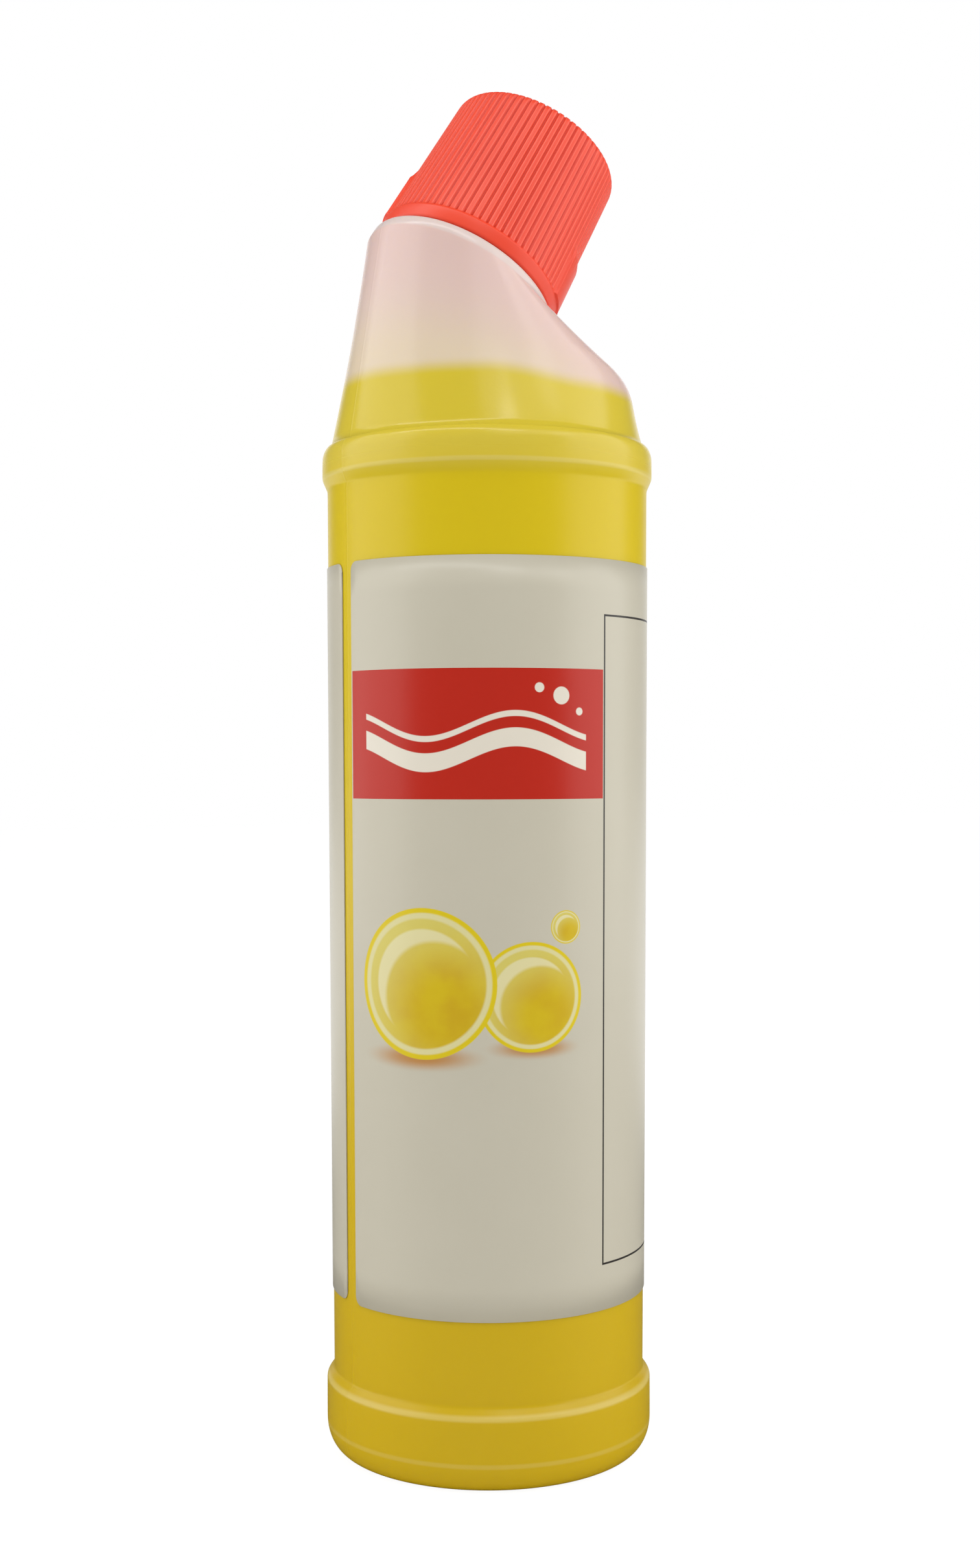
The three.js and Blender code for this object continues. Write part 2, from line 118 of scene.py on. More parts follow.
def quarter(start, end, steps=10):
    """Quarter of an ellipse from start, where it runs upright, to end, where it runs level."""
    turn = np.linspace(0, np.pi / 2, steps + 1)
    radius = end[0] + (start[0] - end[0]) * np.cos(turn)
    height = start[1] + (end[1] - start[1]) * np.sin(turn)
    return np.stack([radius, height], axis=-1)


def profile(*stretches):
    """Join points and stretches of points, each a pair of radius and height, into one line."""
    return np.vstack([np.atleast_2d(stretch) for stretch in stretches])


def soften(line, reach, rows, even=9.0):
    """Round a line's corners over about the reach and spread the rows to where it bends.

    The line is resampled a few times in each reach and averaged with a bell of weights. It is then
    cut into rows at equal steps of its turning, in units of BEND_UNIT, plus its length, in units of
    the even spacing.
    """
    length = np.concatenate([[0], np.cumsum(np.hypot(*np.diff(line, axis=0).T))])
    fine = np.linspace(0, length[-1], int(length[-1] / (reach / SAMPLES_PER_REACH)) + 2)
    path = np.stack([np.interp(fine, length, line[:, k]) for k in (0, 1)], axis=-1)
    width = BELL_SAMPLES
    padded = np.concatenate([
        2 * path[0] - path[width:0:-1], path, 2 * path[-1] - path[-2:-width - 2:-1],
    ])
    kernel = np.hanning(2 * width + 3)[1:-1]
    kernel /= kernel.sum()
    smooth = np.stack([np.convolve(padded[:, k], kernel, "valid") for k in (0, 1)], axis=-1)
    step = np.diff(smooth, axis=0)
    heading = np.unwrap(np.arctan2(step[:, 1], step[:, 0]))
    bend = np.abs(np.diff(heading, prepend=heading[0])) / BEND_UNIT
    effort = np.concatenate([[0], np.cumsum(bend + np.hypot(*step.T) / even)])
    wanted = np.linspace(0, effort[-1], rows)
    return np.stack([np.interp(wanted, effort, smooth[:, k]) for k in (0, 1)], axis=-1)


def turned(line, columns):
    """Carry a line of radius and height round Z: x = r cos t, y = r sin t, z = h."""
    turn = np.arange(columns) / columns * 2 * np.pi
    radius, height = line[:, :1], line[:, 1:]
    level = height + 0 * turn
    return np.stack([radius * np.cos(turn), radius * np.sin(turn), level], axis=-1)


# %% [markdown]
# The neck leans 31.6 degrees towards +X, so that the gel runs in under a toilet's rim. Its pieces
# could be modelled leaning, but they are easiest to work out upright, about their own axis, and are
# then turned and moved into the bottle's frame. The hinge that the cap turns on gives the axis and
# a point on it, so nothing here is fitted by eye.

# %% The leaning frame of the neck
joints = {joint["name"]: joint for joint in frame["record"]["behaviour"]["joints"]}
cap_turn = joints["cap_turn"]
neck_origin = np.array(cap_turn["pos_m"]) / MM
neck_axis = np.array(cap_turn["axis"]) / np.linalg.norm(cap_turn["axis"])
neck_front = np.array([neck_axis[2], 0, -neck_axis[0]])
neck_side = np.array([0.0, 1.0, 0.0])


def leaning(points):
    """Turn upright points into the leaning frame: origin + x front + y side + z axis."""
    return neck_origin + points @ np.stack([neck_front, neck_side, neck_axis])


print("neck leans", round(math.degrees(math.atan2(neck_axis[0], neck_axis[2])), 2), "degrees")

# %% [markdown]
# The bottle is one blow-moulded shell with a thin wall. A Solidify modifier could give the wall,
# but it would press the thread into the inside too, so the inside is a second line, set inwards.
# From the foot to the upper hoop the bottle is turned, so a profile of radius and height is enough.
# The foot has a push-up, so that only its rim touches the shelf.

# %% Bottle sizes and profile, in millimetres
COLUMNS = 192
WALL = 1.2
NEAR_AXIS = 0.01
FOOT_INNER_RADIUS, FOOT_RADIUS, PUSH_UP, PUSH_UP_SHARE = 26.5, 31.0, 4.0, 0.8
BASE_HOOP_RADIUS, BODY_LOW_RADIUS, BODY_HIGH_RADIUS, SHOULDER_RADIUS = 35.1, 33.55, 34.6, 33.8
TOP_HOOP_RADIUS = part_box("bottle")[1].x / MM
FOOT_ROUND_HEIGHT, BASE_HOOP_HEIGHT, BASE_HOOP_BEVEL, BASE_HOOP_SLOPE = 6.45, 8.9, 3.3, 2.1
BODY_HEIGHT, TOP_HOOP_FLARE, TOP_HOOP_HEIGHT, TOP_HOOP_ROUND = 188, 2.5, 3.8, 3.2
hoop_bottom = FOOT_ROUND_HEIGHT
hoop_top = hoop_bottom + BASE_HOOP_HEIGHT
body_bottom = hoop_top + BASE_HOOP_BEVEL
body_top = body_bottom + BODY_HEIGHT
upper_hoop_bottom = body_top + TOP_HOOP_FLARE
upper_hoop_top = upper_hoop_bottom + TOP_HOOP_HEIGHT
shoulder_bottom = upper_hoop_top + TOP_HOOP_ROUND
print("upper hoop is", round(2 * TOP_HOOP_RADIUS, 1), "mm across")
print("shoulder starts", round(shoulder_bottom, 2), "mm up")


def body_line(inset):
    """The bottle's level part as radius and height, set inwards by the inset."""
    return profile(
        (NEAR_AXIS, PUSH_UP + inset),
        (FOOT_INNER_RADIUS / 2, PUSH_UP * PUSH_UP_SHARE + inset),
        (FOOT_INNER_RADIUS - inset / 2, inset),
        quarter((BASE_HOOP_RADIUS - inset, hoop_bottom), (FOOT_RADIUS - inset / 2, inset))[::-1],
        (BASE_HOOP_RADIUS - inset, hoop_top),
        (BODY_LOW_RADIUS - inset, hoop_top + BASE_HOOP_SLOPE),
        (BODY_HIGH_RADIUS - inset, body_top),
        (TOP_HOOP_RADIUS - inset, upper_hoop_bottom),
        quarter(
            (TOP_HOOP_RADIUS - inset, upper_hoop_top), (SHOULDER_RADIUS - inset, shoulder_bottom),
        ),
    )


# %% [markdown]
# The shoulder runs from a level circle to the leaning collar. It could be sculpted, or cut from a
# cone, but a designer would loft it along two rails, which keeps the surface smooth and its sizes
# in hand. The front rail climbs a short wall, turns over a rounded corner and runs up to the
# collar, and the back rail is straight. Each section is an oval between the rails. The last oval is
# the collar's lower edge, a ring round the neck that sits lower at the back.

# %% Shoulder
FRONT_WALL_RADIUS, FRONT_WALL_HEIGHT, FRONT_CORNER_RADIUS = 32.6, 12.7, 6.8
SHOULDER_SIDE_POWER, SHOULDER_BACK_POWER, SHOULDER_EASE = 0.5, 0.6, 0.03
COLLAR_RADIUS, DECK_RADIUS, SEAT_GAP = 21.7, 20.4, 0.3
COLLAR_DROP, COLLAR_BACK_DROP = 1.8, 3.2
RAIL_BEND_POINTS = 25


def rounded_rail(start, corner, end, radius, shares):
    """Points along start, corner, end with the corner replaced by a curve, at shares of the length.

    The curve is a quadratic one that leaves each leg at radius / tan(half the corner's angle). With
    b from 0 to 1 it is (1 - b)^2 leave + 2 b (1 - b) corner + b^2 join.
    """
    before = (start - corner) / np.linalg.norm(start - corner)
    after = (end - corner) / np.linalg.norm(end - corner)
    half = np.arccos(before @ after) / 2
    reach = radius / np.tan(half)
    leave, join = corner + before * reach, corner + after * reach
    bend = np.linspace(0, 1, RAIL_BEND_POINTS)[:, None]
    curve = (1 - bend) ** 2 * leave + 2 * bend * (1 - bend) * corner + bend ** 2 * join
    path = np.vstack([start, curve, end])
    length = np.concatenate([[0], np.cumsum(np.linalg.norm(np.diff(path, axis=0), axis=1))])
    return np.stack([np.interp(shares * length[-1], length, path[:, k]) for k in range(3)], axis=-1)


def eased_power(shares, power):
    """A run from 0 to 1 that starts gently: (share + e)^p - e^p, over (1 + e)^p - e^p."""
    low, high = SHOULDER_EASE ** power, (1 + SHOULDER_EASE) ** power
    return ((shares + SHOULDER_EASE) ** power - low) / (high - low)


def shoulder_grid(inset, rows):
    """Ovals between the rails: middle + reach cos t along the rails, half width times sin t across.

    The half width and the back rail run with an eased power of the share, so that the shoulder
    meets the hoop without a crease.
    """
    shares = np.linspace(0, 1, rows)
    base, collar = SHOULDER_RADIUS - inset, COLLAR_RADIUS - inset
    front_end, back_end = leaning(np.array([
        [collar, 0, -COLLAR_DROP - inset / 2],
        [-collar, 0, -COLLAR_BACK_DROP - inset / 2],
    ]))
    corner_height = shoulder_bottom + FRONT_WALL_HEIGHT - inset / 2
    corner = np.array([FRONT_WALL_RADIUS - inset, 0, corner_height])
    front_start = np.array([base, 0, shoulder_bottom])
    back_start = np.array([-base, 0, shoulder_bottom])
    front = rounded_rail(front_start, corner, front_end, FRONT_CORNER_RADIUS, shares)
    back_run = eased_power(shares, SHOULDER_BACK_POWER)[:, None]
    back = back_start + (back_end - back_start) * back_run
    half_width = base + (collar - base) * eased_power(shares, SHOULDER_SIDE_POWER)
    turn = np.arange(COLUMNS) / COLUMNS * 2 * np.pi
    middle, reach = (front + back) / 2, (front - back) / 2
    oval = middle[:, None] + reach[:, None] * np.cos(turn)[None, :, None]
    oval[..., 1] = half_width[:, None] * np.sin(turn)
    return oval


# %% [markdown]
# The neck carries a one-start thread. A ridge could be swept along a helix and joined to the neck,
# but a blown thread grows out of the wall with no seam. So it is a bulge on a fine grid: the radius
# grows where the height is close to the helix that climbs one pitch for each turn. The same
# function, turned inwards, makes the thread inside the cap, half a pitch lower so the two mesh.

# %% Neck sizes
NECK_RADIUS, NECK_WALL, NECK_FILLET, MOUTH_CHAMFER = 13.6, 1.8, 1.6, 0.5
NECK_EDGE, NECK_ROOT_TOP = 0.4, 6.0
PITCH, THREAD_DEPTH, THREAD_TURNS, THREAD_FROM_MOUTH = 4.0, 1.3, 2.0, 11.5
THREAD_ROOT_WIDTH, THREAD_CREST_WIDTH, THREAD_CLEARANCE = 2.0, 0.8, 0.3
THREAD_FADES_PER_TURN, THREAD_STEP, THREAD_MARGIN, LIP_START = 8, 0.25, 1.5, 0.3
CAP_HEIGHT, CAP_TOP, LINER_THICKNESS, PLUG_FLANGE = 36.4, 1.8, 1.5, 1.2
cap_ceiling = CAP_HEIGHT - CAP_TOP
liner_bottom = cap_ceiling - SEAT_GAP - LINER_THICKNESS
flange_bottom = liner_bottom - SEAT_GAP - PLUG_FLANGE
neck_length = flange_bottom - SEAT_GAP
thread_bottom = neck_length - THREAD_FROM_MOUTH
print("neck is", round(neck_length, 2), "mm long; its thread starts at", round(thread_bottom, 2))


# %% Thread
def thread_bulge(height, turn, bottom):
    """How far the thread stands out, from 0 to 1, at each height and turn.

    The distance from the nearest coil of the helix is set against the ridge's half widths at its
    crest and its root, and the ridge fades over its first and last eighth of a turn.
    """
    coil = np.round((height - bottom) / PITCH - turn / (2 * np.pi))
    along = coil + turn / (2 * np.pi)
    away = np.abs(height - bottom - along * PITCH)
    ridge = (THREAD_ROOT_WIDTH / 2 - away) / ((THREAD_ROOT_WIDTH - THREAD_CREST_WIDTH) / 2)
    fade = np.minimum(along, THREAD_TURNS - along) * THREAD_FADES_PER_TURN
    return np.clip(ridge, 0, 1) * np.clip(fade, 0, 1)


def with_thread(points, bottom, depth):
    """Move the points of an upright grid out by depth times the thread's bulge."""
    turn = np.arctan2(points[..., 1], points[..., 0]) % (2 * np.pi)
    radius = np.hypot(points[..., 0], points[..., 1])
    grow = 1 + depth * thread_bulge(points[..., 2], turn, bottom) / radius
    return points * np.stack([grow, grow, np.ones_like(grow)], axis=-1)


# %% Neck and bottle
def neck_grid():
    """The collar, the deck, the threaded neck and its bore: a section turned round the neck's axis.

    Only the rows on the outside get the thread.
    """
    thread_top = thread_bottom + THREAD_TURNS * PITCH
    thread_rows = np.arange(thread_bottom - THREAD_MARGIN, thread_top + THREAD_MARGIN, THREAD_STEP)
    bore = NECK_RADIUS - NECK_WALL
    collar = soften(profile(
        quarter((COLLAR_RADIUS, -COLLAR_DROP), (DECK_RADIUS, -SEAT_GAP)),
        (NECK_RADIUS + NECK_FILLET, -SEAT_GAP),
        quarter((NECK_RADIUS, NECK_FILLET), (NECK_RADIUS + NECK_FILLET, -SEAT_GAP))[::-1],
        (NECK_RADIUS, NECK_ROOT_TOP),
    ), reach=NECK_EDGE, rows=30)
    lip = soften(profile(
        (NECK_RADIUS, thread_rows[-1] + LIP_START),
        (NECK_RADIUS, neck_length - MOUTH_CHAMFER),
        (NECK_RADIUS - MOUTH_CHAMFER, neck_length),
        (bore, neck_length),
        (bore, -SEAT_GAP - WALL),
        (DECK_RADIUS - WALL, -SEAT_GAP - WALL),
    ), reach=NECK_EDGE, rows=26)
    threaded = np.stack([np.full_like(thread_rows, NECK_RADIUS), thread_rows], axis=-1)
    upright = turned(np.vstack([collar, threaded, lip]), COLUMNS)
    ridged = with_thread(upright, thread_bottom, THREAD_DEPTH)
    outside = (np.arange(len(upright)) < len(collar) + len(threaded))[:, None, None]
    return leaning(np.where(outside, ridged, upright))


outer_body = turned(soften(body_line(0), reach=0.6, rows=150), COLUMNS)
inner_body = turned(soften(body_line(WALL), reach=1.2, rows=50), COLUMNS)
bottle = grid_mesh(
    "bottle_shell",
    np.concatenate([
        outer_body[1:], shoulder_grid(0, rows=70)[1:], neck_grid()[1:],
        shoulder_grid(WALL, rows=24)[::-1], inner_body[-2:0:-1],
    ]),
    poles=([0, 0, PUSH_UP], [0, 0, PUSH_UP + WALL]),
)
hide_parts("bottle")

# %% [markdown]
# The label is a thin film that wraps the body and leaves a narrow gap at the back of the lean. It
# could be painted on the bottle's own material, but the real one has an edge that catches light. So
# it is a bent sheet: its width runs round, its height runs up, and its four corners are rounded.
# Later a UV map gives it millimetres along the film, so the print can be laid out with a ruler.

# %% Label
LABEL_GAP, LABEL_CORNER = 3.9, 2.0
LABEL_THICKNESS, LABEL_CLEARANCE = 0.17, 0.08
LABEL_RADIUS = 34.3
LABEL_CLIMB_POINTS, LABEL_CORNER_POINTS, LABEL_LONG_POINTS = 24, 9, 240
label_low, label_high = (corner.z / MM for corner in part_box("label"))


def body_radius(height):
    """The body's radius, which grows evenly from its lower end to its upper end."""
    share = (height - body_bottom) / (body_top - body_bottom)
    return BODY_LOW_RADIUS + (BODY_HIGH_RADIUS - BODY_LOW_RADIUS) * share


def make_label():
    """Bend a sheet round the body. Its rows run round, and each row is a thin upright loop.

    A row goes up the film's outside and down its inside. Near each end the film's height shrinks by
    r - sqrt(r^2 - d^2), which rounds its corners, where d is how far a row lies beyond the corner's
    middle. The two end loops are closed by strips.
    """
    climb = np.linspace(0, 1, LABEL_CLIMB_POINTS)
    half_gap, corner = LABEL_GAP / 2 / LABEL_RADIUS, LABEL_CORNER / LABEL_RADIUS
    start, end = -np.pi + half_gap, np.pi - half_gap
    ease = (1 - np.cos(np.linspace(0, np.pi / 2, LABEL_CORNER_POINTS))) * corner
    middle = np.linspace(start + corner, end - corner, LABEL_LONG_POINTS)[1:-1]
    turn = np.concatenate([start + ease, middle, (end - ease)[::-1]])[:, None]
    beyond = LABEL_CORNER - np.minimum(turn - start, end - turn) * LABEL_RADIUS
    cut = LABEL_CORNER - np.sqrt(LABEL_CORNER ** 2 - np.clip(beyond, 0, None) ** 2)
    rise = np.concatenate([climb, climb[::-1]])
    lift = LABEL_CLEARANCE + LABEL_THICKNESS * (np.arange(len(rise)) < len(climb))
    height = label_low + cut + rise * (label_high - label_low - 2 * cut)
    radius = body_radius(height) + lift
    sheet = np.stack([radius * np.cos(turn), radius * np.sin(turn), height], axis=-1)
    strip = np.arange(len(climb) - 1)
    opposite = len(rise) - 1 - strip
    first = np.stack([strip, strip + 1, opposite - 1, opposite], axis=-1)
    last = first[:, ::-1] + (len(turn) - 1) * len(rise)
    return grid_mesh("label_film", sheet[:, ::-1], more_faces=[*first.tolist(), *last.tolist()])


label = make_label()
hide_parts("label")

# %% [markdown]
# The cap is a moulded shell with a plain band, 72 ribs, two squeeze pads and, inside, a threaded
# skirt. The ribs could be copies of one block in a ring, but on a moulded cap the grooves are sunk
# in one skin. So the section is turned first, and the radius then falls in the grooves and grows on
# the pads. Each rib takes eight columns, close together at the groove's walls and far apart on the
# rib's flat top.

# %% Cap sizes
CAP_RIM_RADIUS, CAP_BAND_RADIUS, CAP_BAND_HEIGHT, BAND_STEP = 20.65, 20.95, 3.3, 0.35
CAP_LOW_RADIUS, CAP_HIGH_RADIUS, CAP_CORNER, CAP_WALL = 20.6, 19.0, 2.2, 1.3
RIM_WIDTH, RIM_INSET, RIM_ROUND, RIM_SEAM = 1.2, 0.25, 0.4, 0.15
CROWN_MARGIN, CROWN_RADII = 1.5, (12.0, 6.0)
RIBS, RIB_DEPTH, GROOVE_SHARE, GROOVE_STEEPNESS = 72, 0.45, 0.21, 1.4
RIB_COLUMNS = np.array([0, 0.09, 0.17, 0.26, 0.5, 0.74, 0.83, 0.91])
SKIRT_WALL, SKIRT_LENGTH, SKIRT_LEAD = 1.0, 20.0, 0.6
SKIRT_THREAD_STEP, CEILING_MIDDLE = 0.3, 0.3
PAD_RAISE, PAD_HEIGHT, PAD_CHAMFER = 0.7, 11.6, 0.8
PAD_HALF_WIDTH, PAD_TURN = math.radians(19.5), math.radians(-32)
FADE_HEIGHT, WALL_FOOT_HEIGHT = 0.3, 0.3
skirt_radius = NECK_RADIUS + THREAD_DEPTH + THREAD_CLEARANCE
skirt_bottom = cap_ceiling - SKIRT_LENGTH
print("cap's skirt has a radius of", round(skirt_radius, 2), "mm")


# %% Cap section
def cap_radius(height):
    """The ribbed wall's radius, which shrinks evenly from the band to the crown."""
    share = (height - CAP_BAND_HEIGHT) / (CAP_HEIGHT - CAP_BAND_HEIGHT)
    return CAP_LOW_RADIUS + (CAP_HIGH_RADIUS - CAP_LOW_RADIUS) * share


def cap_outside():
    """The outer line: the rim, the band, the ribbed wall, the rounded edge and the flat crown."""
    edge_height = CAP_HEIGHT - CAP_CORNER
    flat_radius = CAP_HIGH_RADIUS - CAP_CORNER
    wall = soften(profile(
        (CAP_RIM_RADIUS - RIM_WIDTH, 0),
        (CAP_RIM_RADIUS - RIM_INSET, 0),
        (CAP_RIM_RADIUS, RIM_ROUND),
        (CAP_BAND_RADIUS, CAP_BAND_HEIGHT - BAND_STEP),
        (CAP_LOW_RADIUS, CAP_BAND_HEIGHT),
        quarter((cap_radius(edge_height), edge_height), (flat_radius, CAP_HEIGHT)),
        (flat_radius - CROWN_MARGIN, CAP_HEIGHT),
    ), reach=0.3, rows=52, even=1.4)
    return profile(wall, *((radius, CAP_HEIGHT) for radius in CROWN_RADII))


def cap_inside():
    """The inner line in two parts: the ceiling and the skirt's threaded face, then the rest."""
    thread_top = thread_bottom + THREAD_TURNS * PITCH
    thread_rows = np.arange(skirt_bottom + SKIRT_LEAD, thread_top, SKIRT_THREAD_STEP)
    skirt = np.stack([np.full_like(thread_rows, skirt_radius), thread_rows], axis=-1)
    threaded = profile(
        (CEILING_MIDDLE, cap_ceiling), (skirt_radius, cap_ceiling), skirt[::-1],
        (skirt_radius, skirt_bottom),
    )
    wall = [(cap_radius(h) - RIB_DEPTH - CAP_WALL, h) for h in (cap_ceiling, WALL_FOOT_HEIGHT)]
    plain = profile(
        (skirt_radius + SKIRT_WALL, skirt_bottom), (skirt_radius + SKIRT_WALL, cap_ceiling),
        *wall, (CAP_RIM_RADIUS - RIM_WIDTH - RIM_SEAM, 0),
    )
    return threaded, plain


# %% Ribs, pads and cap
def smooth_step(value):
    """A rise from 0 to 1 with level ends: s^2 (3 - 2 s), where s is the value held to 0 and 1."""
    share = np.clip(value, 0, 1)
    return share * share * (3 - 2 * share)


def cap_grooves(radius, height, columns):
    """How deep a groove is, from 0 to 1, by how near a column lies to the place where a rib starts.

    The grooves fade out at the band and over the crown.
    """
    place = (columns * RIBS / (2 * np.pi)) % 1
    near = np.minimum(place, 1 - place) / GROOVE_SHARE
    groove = smooth_step(GROOVE_STEEPNESS - near * GROOVE_STEEPNESS)
    from_band = smooth_step((height - CAP_BAND_HEIGHT) / FADE_HEIGHT)
    from_crown = smooth_step((radius - CAP_HIGH_RADIUS + CAP_CORNER) / (0.5 * CAP_CORNER))
    return groove * from_band * from_crown


def cap_pads(height, columns):
    """1 on the two squeeze pads and 0 beside them: the way in from an edge, over the chamfer."""
    pads = np.zeros(np.broadcast_shapes(height.shape, columns.shape))
    for middle in (PAD_TURN, PAD_TURN + np.pi):
        away = np.abs((columns - middle + np.pi) % (2 * np.pi) - np.pi)
        side = (PAD_HALF_WIDTH - away) * CAP_LOW_RADIUS / PAD_CHAMFER
        rise = (CAP_BAND_HEIGHT + PAD_HEIGHT - height) / PAD_CHAMFER
        pads = np.maximum(pads, np.clip(np.minimum(side, rise), 0, 1))
    return pads * smooth_step((height - CAP_BAND_HEIGHT + FADE_HEIGHT) / FADE_HEIGHT)


def make_cap():
    """Turn the cap's section, with a radius that changes as it goes round.

    Outside it is r + raise x pad - depth x groove x (1 - pad), and on the skirt r - depth x thread.
    """
    (threaded, plain), outside = cap_inside(), cap_outside()
    columns = ((np.arange(RIBS)[:, None] + RIB_COLUMNS) / RIBS * 2 * np.pi).ravel()
    line = np.vstack([threaded, plain, outside])
    radius, height = line[:, :1], line[:, 1:]
    row = np.arange(len(line))[:, None]
    pads = cap_pads(height, columns)
    change = PAD_RAISE * pads - RIB_DEPTH * cap_grooves(radius, height, columns) * (1 - pads)
    thread = thread_bulge(height + 0 * columns, columns[None], thread_bottom - PITCH / 2)
    inward = -(THREAD_DEPTH - THREAD_CLEARANCE) * thread
    on_skirt = (row < len(threaded)) & (radius > CEILING_MIDDLE)
    on_outside = row >= len(threaded) + len(plain)
    reach = radius + np.where(on_outside, change, 0) + np.where(on_skirt, inward, 0)
    level = height + 0 * columns
    points = np.stack([reach * np.cos(columns), reach * np.sin(columns), level], axis=-1)
    ends = leaning(np.array([[0, 0, cap_ceiling], [0, 0, CAP_HEIGHT]]))
    return grid_mesh("cap_shell", leaning(points), poles=(ends[0], ends[1]))


cap = make_cap()
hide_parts("cap")

# %% [markdown]
# The squirt plug makes the gel come out as a jet, and the sealing disc keeps it in. These small
# round parts could stay as plain solids, but they show when the cap is lifted. So they are turned
# like the bottle, and their edges get the small rounds that moulded and punched parts have.

# %% Squirt plug and liner
PLUG_FLANGE_RADIUS, PLUG_DEPTH, PLUG_WALL, PLUG_FLOOR = 13.0, 9.0, 1.2, 1.4
SPOUT_HEIGHT, SPOUT_RADIUS, ORIFICE_RADIUS, PLUG_EDGE = 6.5, 3.6, 2.2, 0.5
LINER_RADIUS, LINER_MIDDLE, SMALL_COLUMNS = 13.6, 0.5, 96


def make_plug():
    """Turn the plug's section, a closed line whose two ends meet inside the orifice."""
    outer = NECK_RADIUS - NECK_WALL - SEAT_GAP
    inner = outer - PLUG_WALL
    floor_bottom = flange_bottom - PLUG_DEPTH
    floor_top = floor_bottom + PLUG_FLOOR
    spout_top = floor_top + SPOUT_HEIGHT
    section = soften(profile(
        (ORIFICE_RADIUS, floor_top), (ORIFICE_RADIUS, floor_bottom),
        (outer - PLUG_EDGE, floor_bottom), (outer, floor_bottom + PLUG_EDGE),
        (outer, flange_bottom), (PLUG_FLANGE_RADIUS, flange_bottom),
        (PLUG_FLANGE_RADIUS, flange_bottom + PLUG_FLANGE), (inner, flange_bottom + PLUG_FLANGE),
        (inner, floor_top), (SPOUT_RADIUS, floor_top), (SPOUT_RADIUS - PLUG_EDGE, spout_top),
        (ORIFICE_RADIUS, spout_top), (ORIFICE_RADIUS, floor_top),
    ), reach=0.3, rows=110, even=3.0)
    return grid_mesh("squirt_plug", leaning(turned(section[:-1], SMALL_COLUMNS)), loop=True)


def make_liner():
    """Turn a disc with rounded edges, closed by a pole on each face."""
    liner_top = liner_bottom + LINER_THICKNESS
    section = soften(profile(
        (LINER_MIDDLE, liner_bottom), (LINER_RADIUS, liner_bottom),
        (LINER_RADIUS, liner_top), (LINER_MIDDLE, liner_top),
    ), reach=0.3, rows=28, even=4.0)
    ends = leaning(np.array([[0, 0, liner_bottom], [0, 0, liner_top]]))
    return grid_mesh("sealing_disc", leaning(turned(section, SMALL_COLUMNS)), poles=ends)


plug = make_plug()
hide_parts("nozzle_insert")
liner = make_liner()
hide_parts("cap_liner")

# %% [markdown]
# Two small lugs on the bottle's deck and two inside the cap's rim make the child-resistant stop:
# turning alone brings them together, and squeezing the pads lifts the cap's lugs clear. A bevelled
# cube would do, but a superellipsoid gives a moulded block's soft edges in one formula: it is an
# ellipsoid whose sines and cosines are raised to a small power, so that it is nearly a box.

# %% Stop lugs
STOP_LUG_REACH, STOP_LUG_WIDTH, STOP_LUG_HEIGHT, LUG_SINK = 5.0, 2.4, 4.4, 0.4
CAP_LUG_DEPTH, CAP_LUG_WIDTH, CAP_LUG_HEIGHT, CAP_LUG_RAISE = 0.7, 2.0, 3.5, 0.5
LUG_COLUMNS, LUG_ROWS = 32, 17


def lug(name, inner, outer, width, low, high, turn, power=0.3):
    """A soft block between two radii and two heights, turned about the neck's axis.

    With s(a) = sign(sin a) |sin a|^power and c(a) likewise, a point is half the block's size times
    (c(v) c(u), c(v) s(u), s(v)), where u runs round and v climbs.
    """
    round_turn = np.arange(LUG_COLUMNS) / LUG_COLUMNS * 2 * np.pi
    climb = np.linspace(-np.pi / 2, np.pi / 2, LUG_ROWS)[1:-1, None]

    def shaped(value):
        """s(a) or c(a), from the sine or the cosine."""
        return np.sign(value) * np.abs(value) ** power

    across = shaped(np.cos(climb)) * shaped(np.cos(round_turn)) * (outer - inner) / 2
    along = shaped(np.cos(climb)) * shaped(np.sin(round_turn)) * width / 2
    rise = shaped(np.sin(climb)) * (high - low) / 2 + 0 * round_turn
    middle = np.array([(inner + outer) / 2, 0, (low + high) / 2])
    cosine, sine = math.cos(turn), math.sin(turn)
    spin = np.array([[cosine, sine, 0], [-sine, cosine, 0], [0, 0, 1]])
    points = (np.stack([across, along, rise], axis=-1) + middle) @ spin
    poles = (np.array([[0, 0, low - middle[2]], [0, 0, high - middle[2]]]) + middle) @ spin
    return grid_mesh(name, leaning(points), poles=leaning(poles))


deck_middle = -SEAT_GAP - WALL / 2
deck_lugs = [
    lug(
        f"deck_lug_{side}", NECK_RADIUS - LUG_SINK, NECK_RADIUS + STOP_LUG_REACH, STOP_LUG_WIDTH,
        deck_middle, deck_middle + STOP_LUG_HEIGHT, turn,
    )
    for side, turn in (("front", 0), ("back", np.pi))
]
cap_wall_inside = cap_radius(CAP_LUG_HEIGHT) - RIB_DEPTH - CAP_WALL
cap_lugs = [
    lug(
        f"cap_lug_{side}", cap_wall_inside - CAP_LUG_DEPTH, cap_wall_inside + CAP_WALL / 2,
        CAP_LUG_WIDTH, CAP_LUG_RAISE, CAP_LUG_RAISE + CAP_LUG_HEIGHT, turn,
    )
    for side, turn in (("left", np.pi / 2), ("right", -np.pi / 2))
]
for piece in deck_lugs:
    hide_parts("bottle")
for piece in cap_lugs:
    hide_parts("cap")

# %% [markdown]
# Materials are built from nodes. They could be wired by hand in the Shader Editor, or link by link
# in code, but shader maths written as links is slow to read. So one small class wraps a socket and
# lets Python's own operators add the Math nodes, and one helper adds every other node.

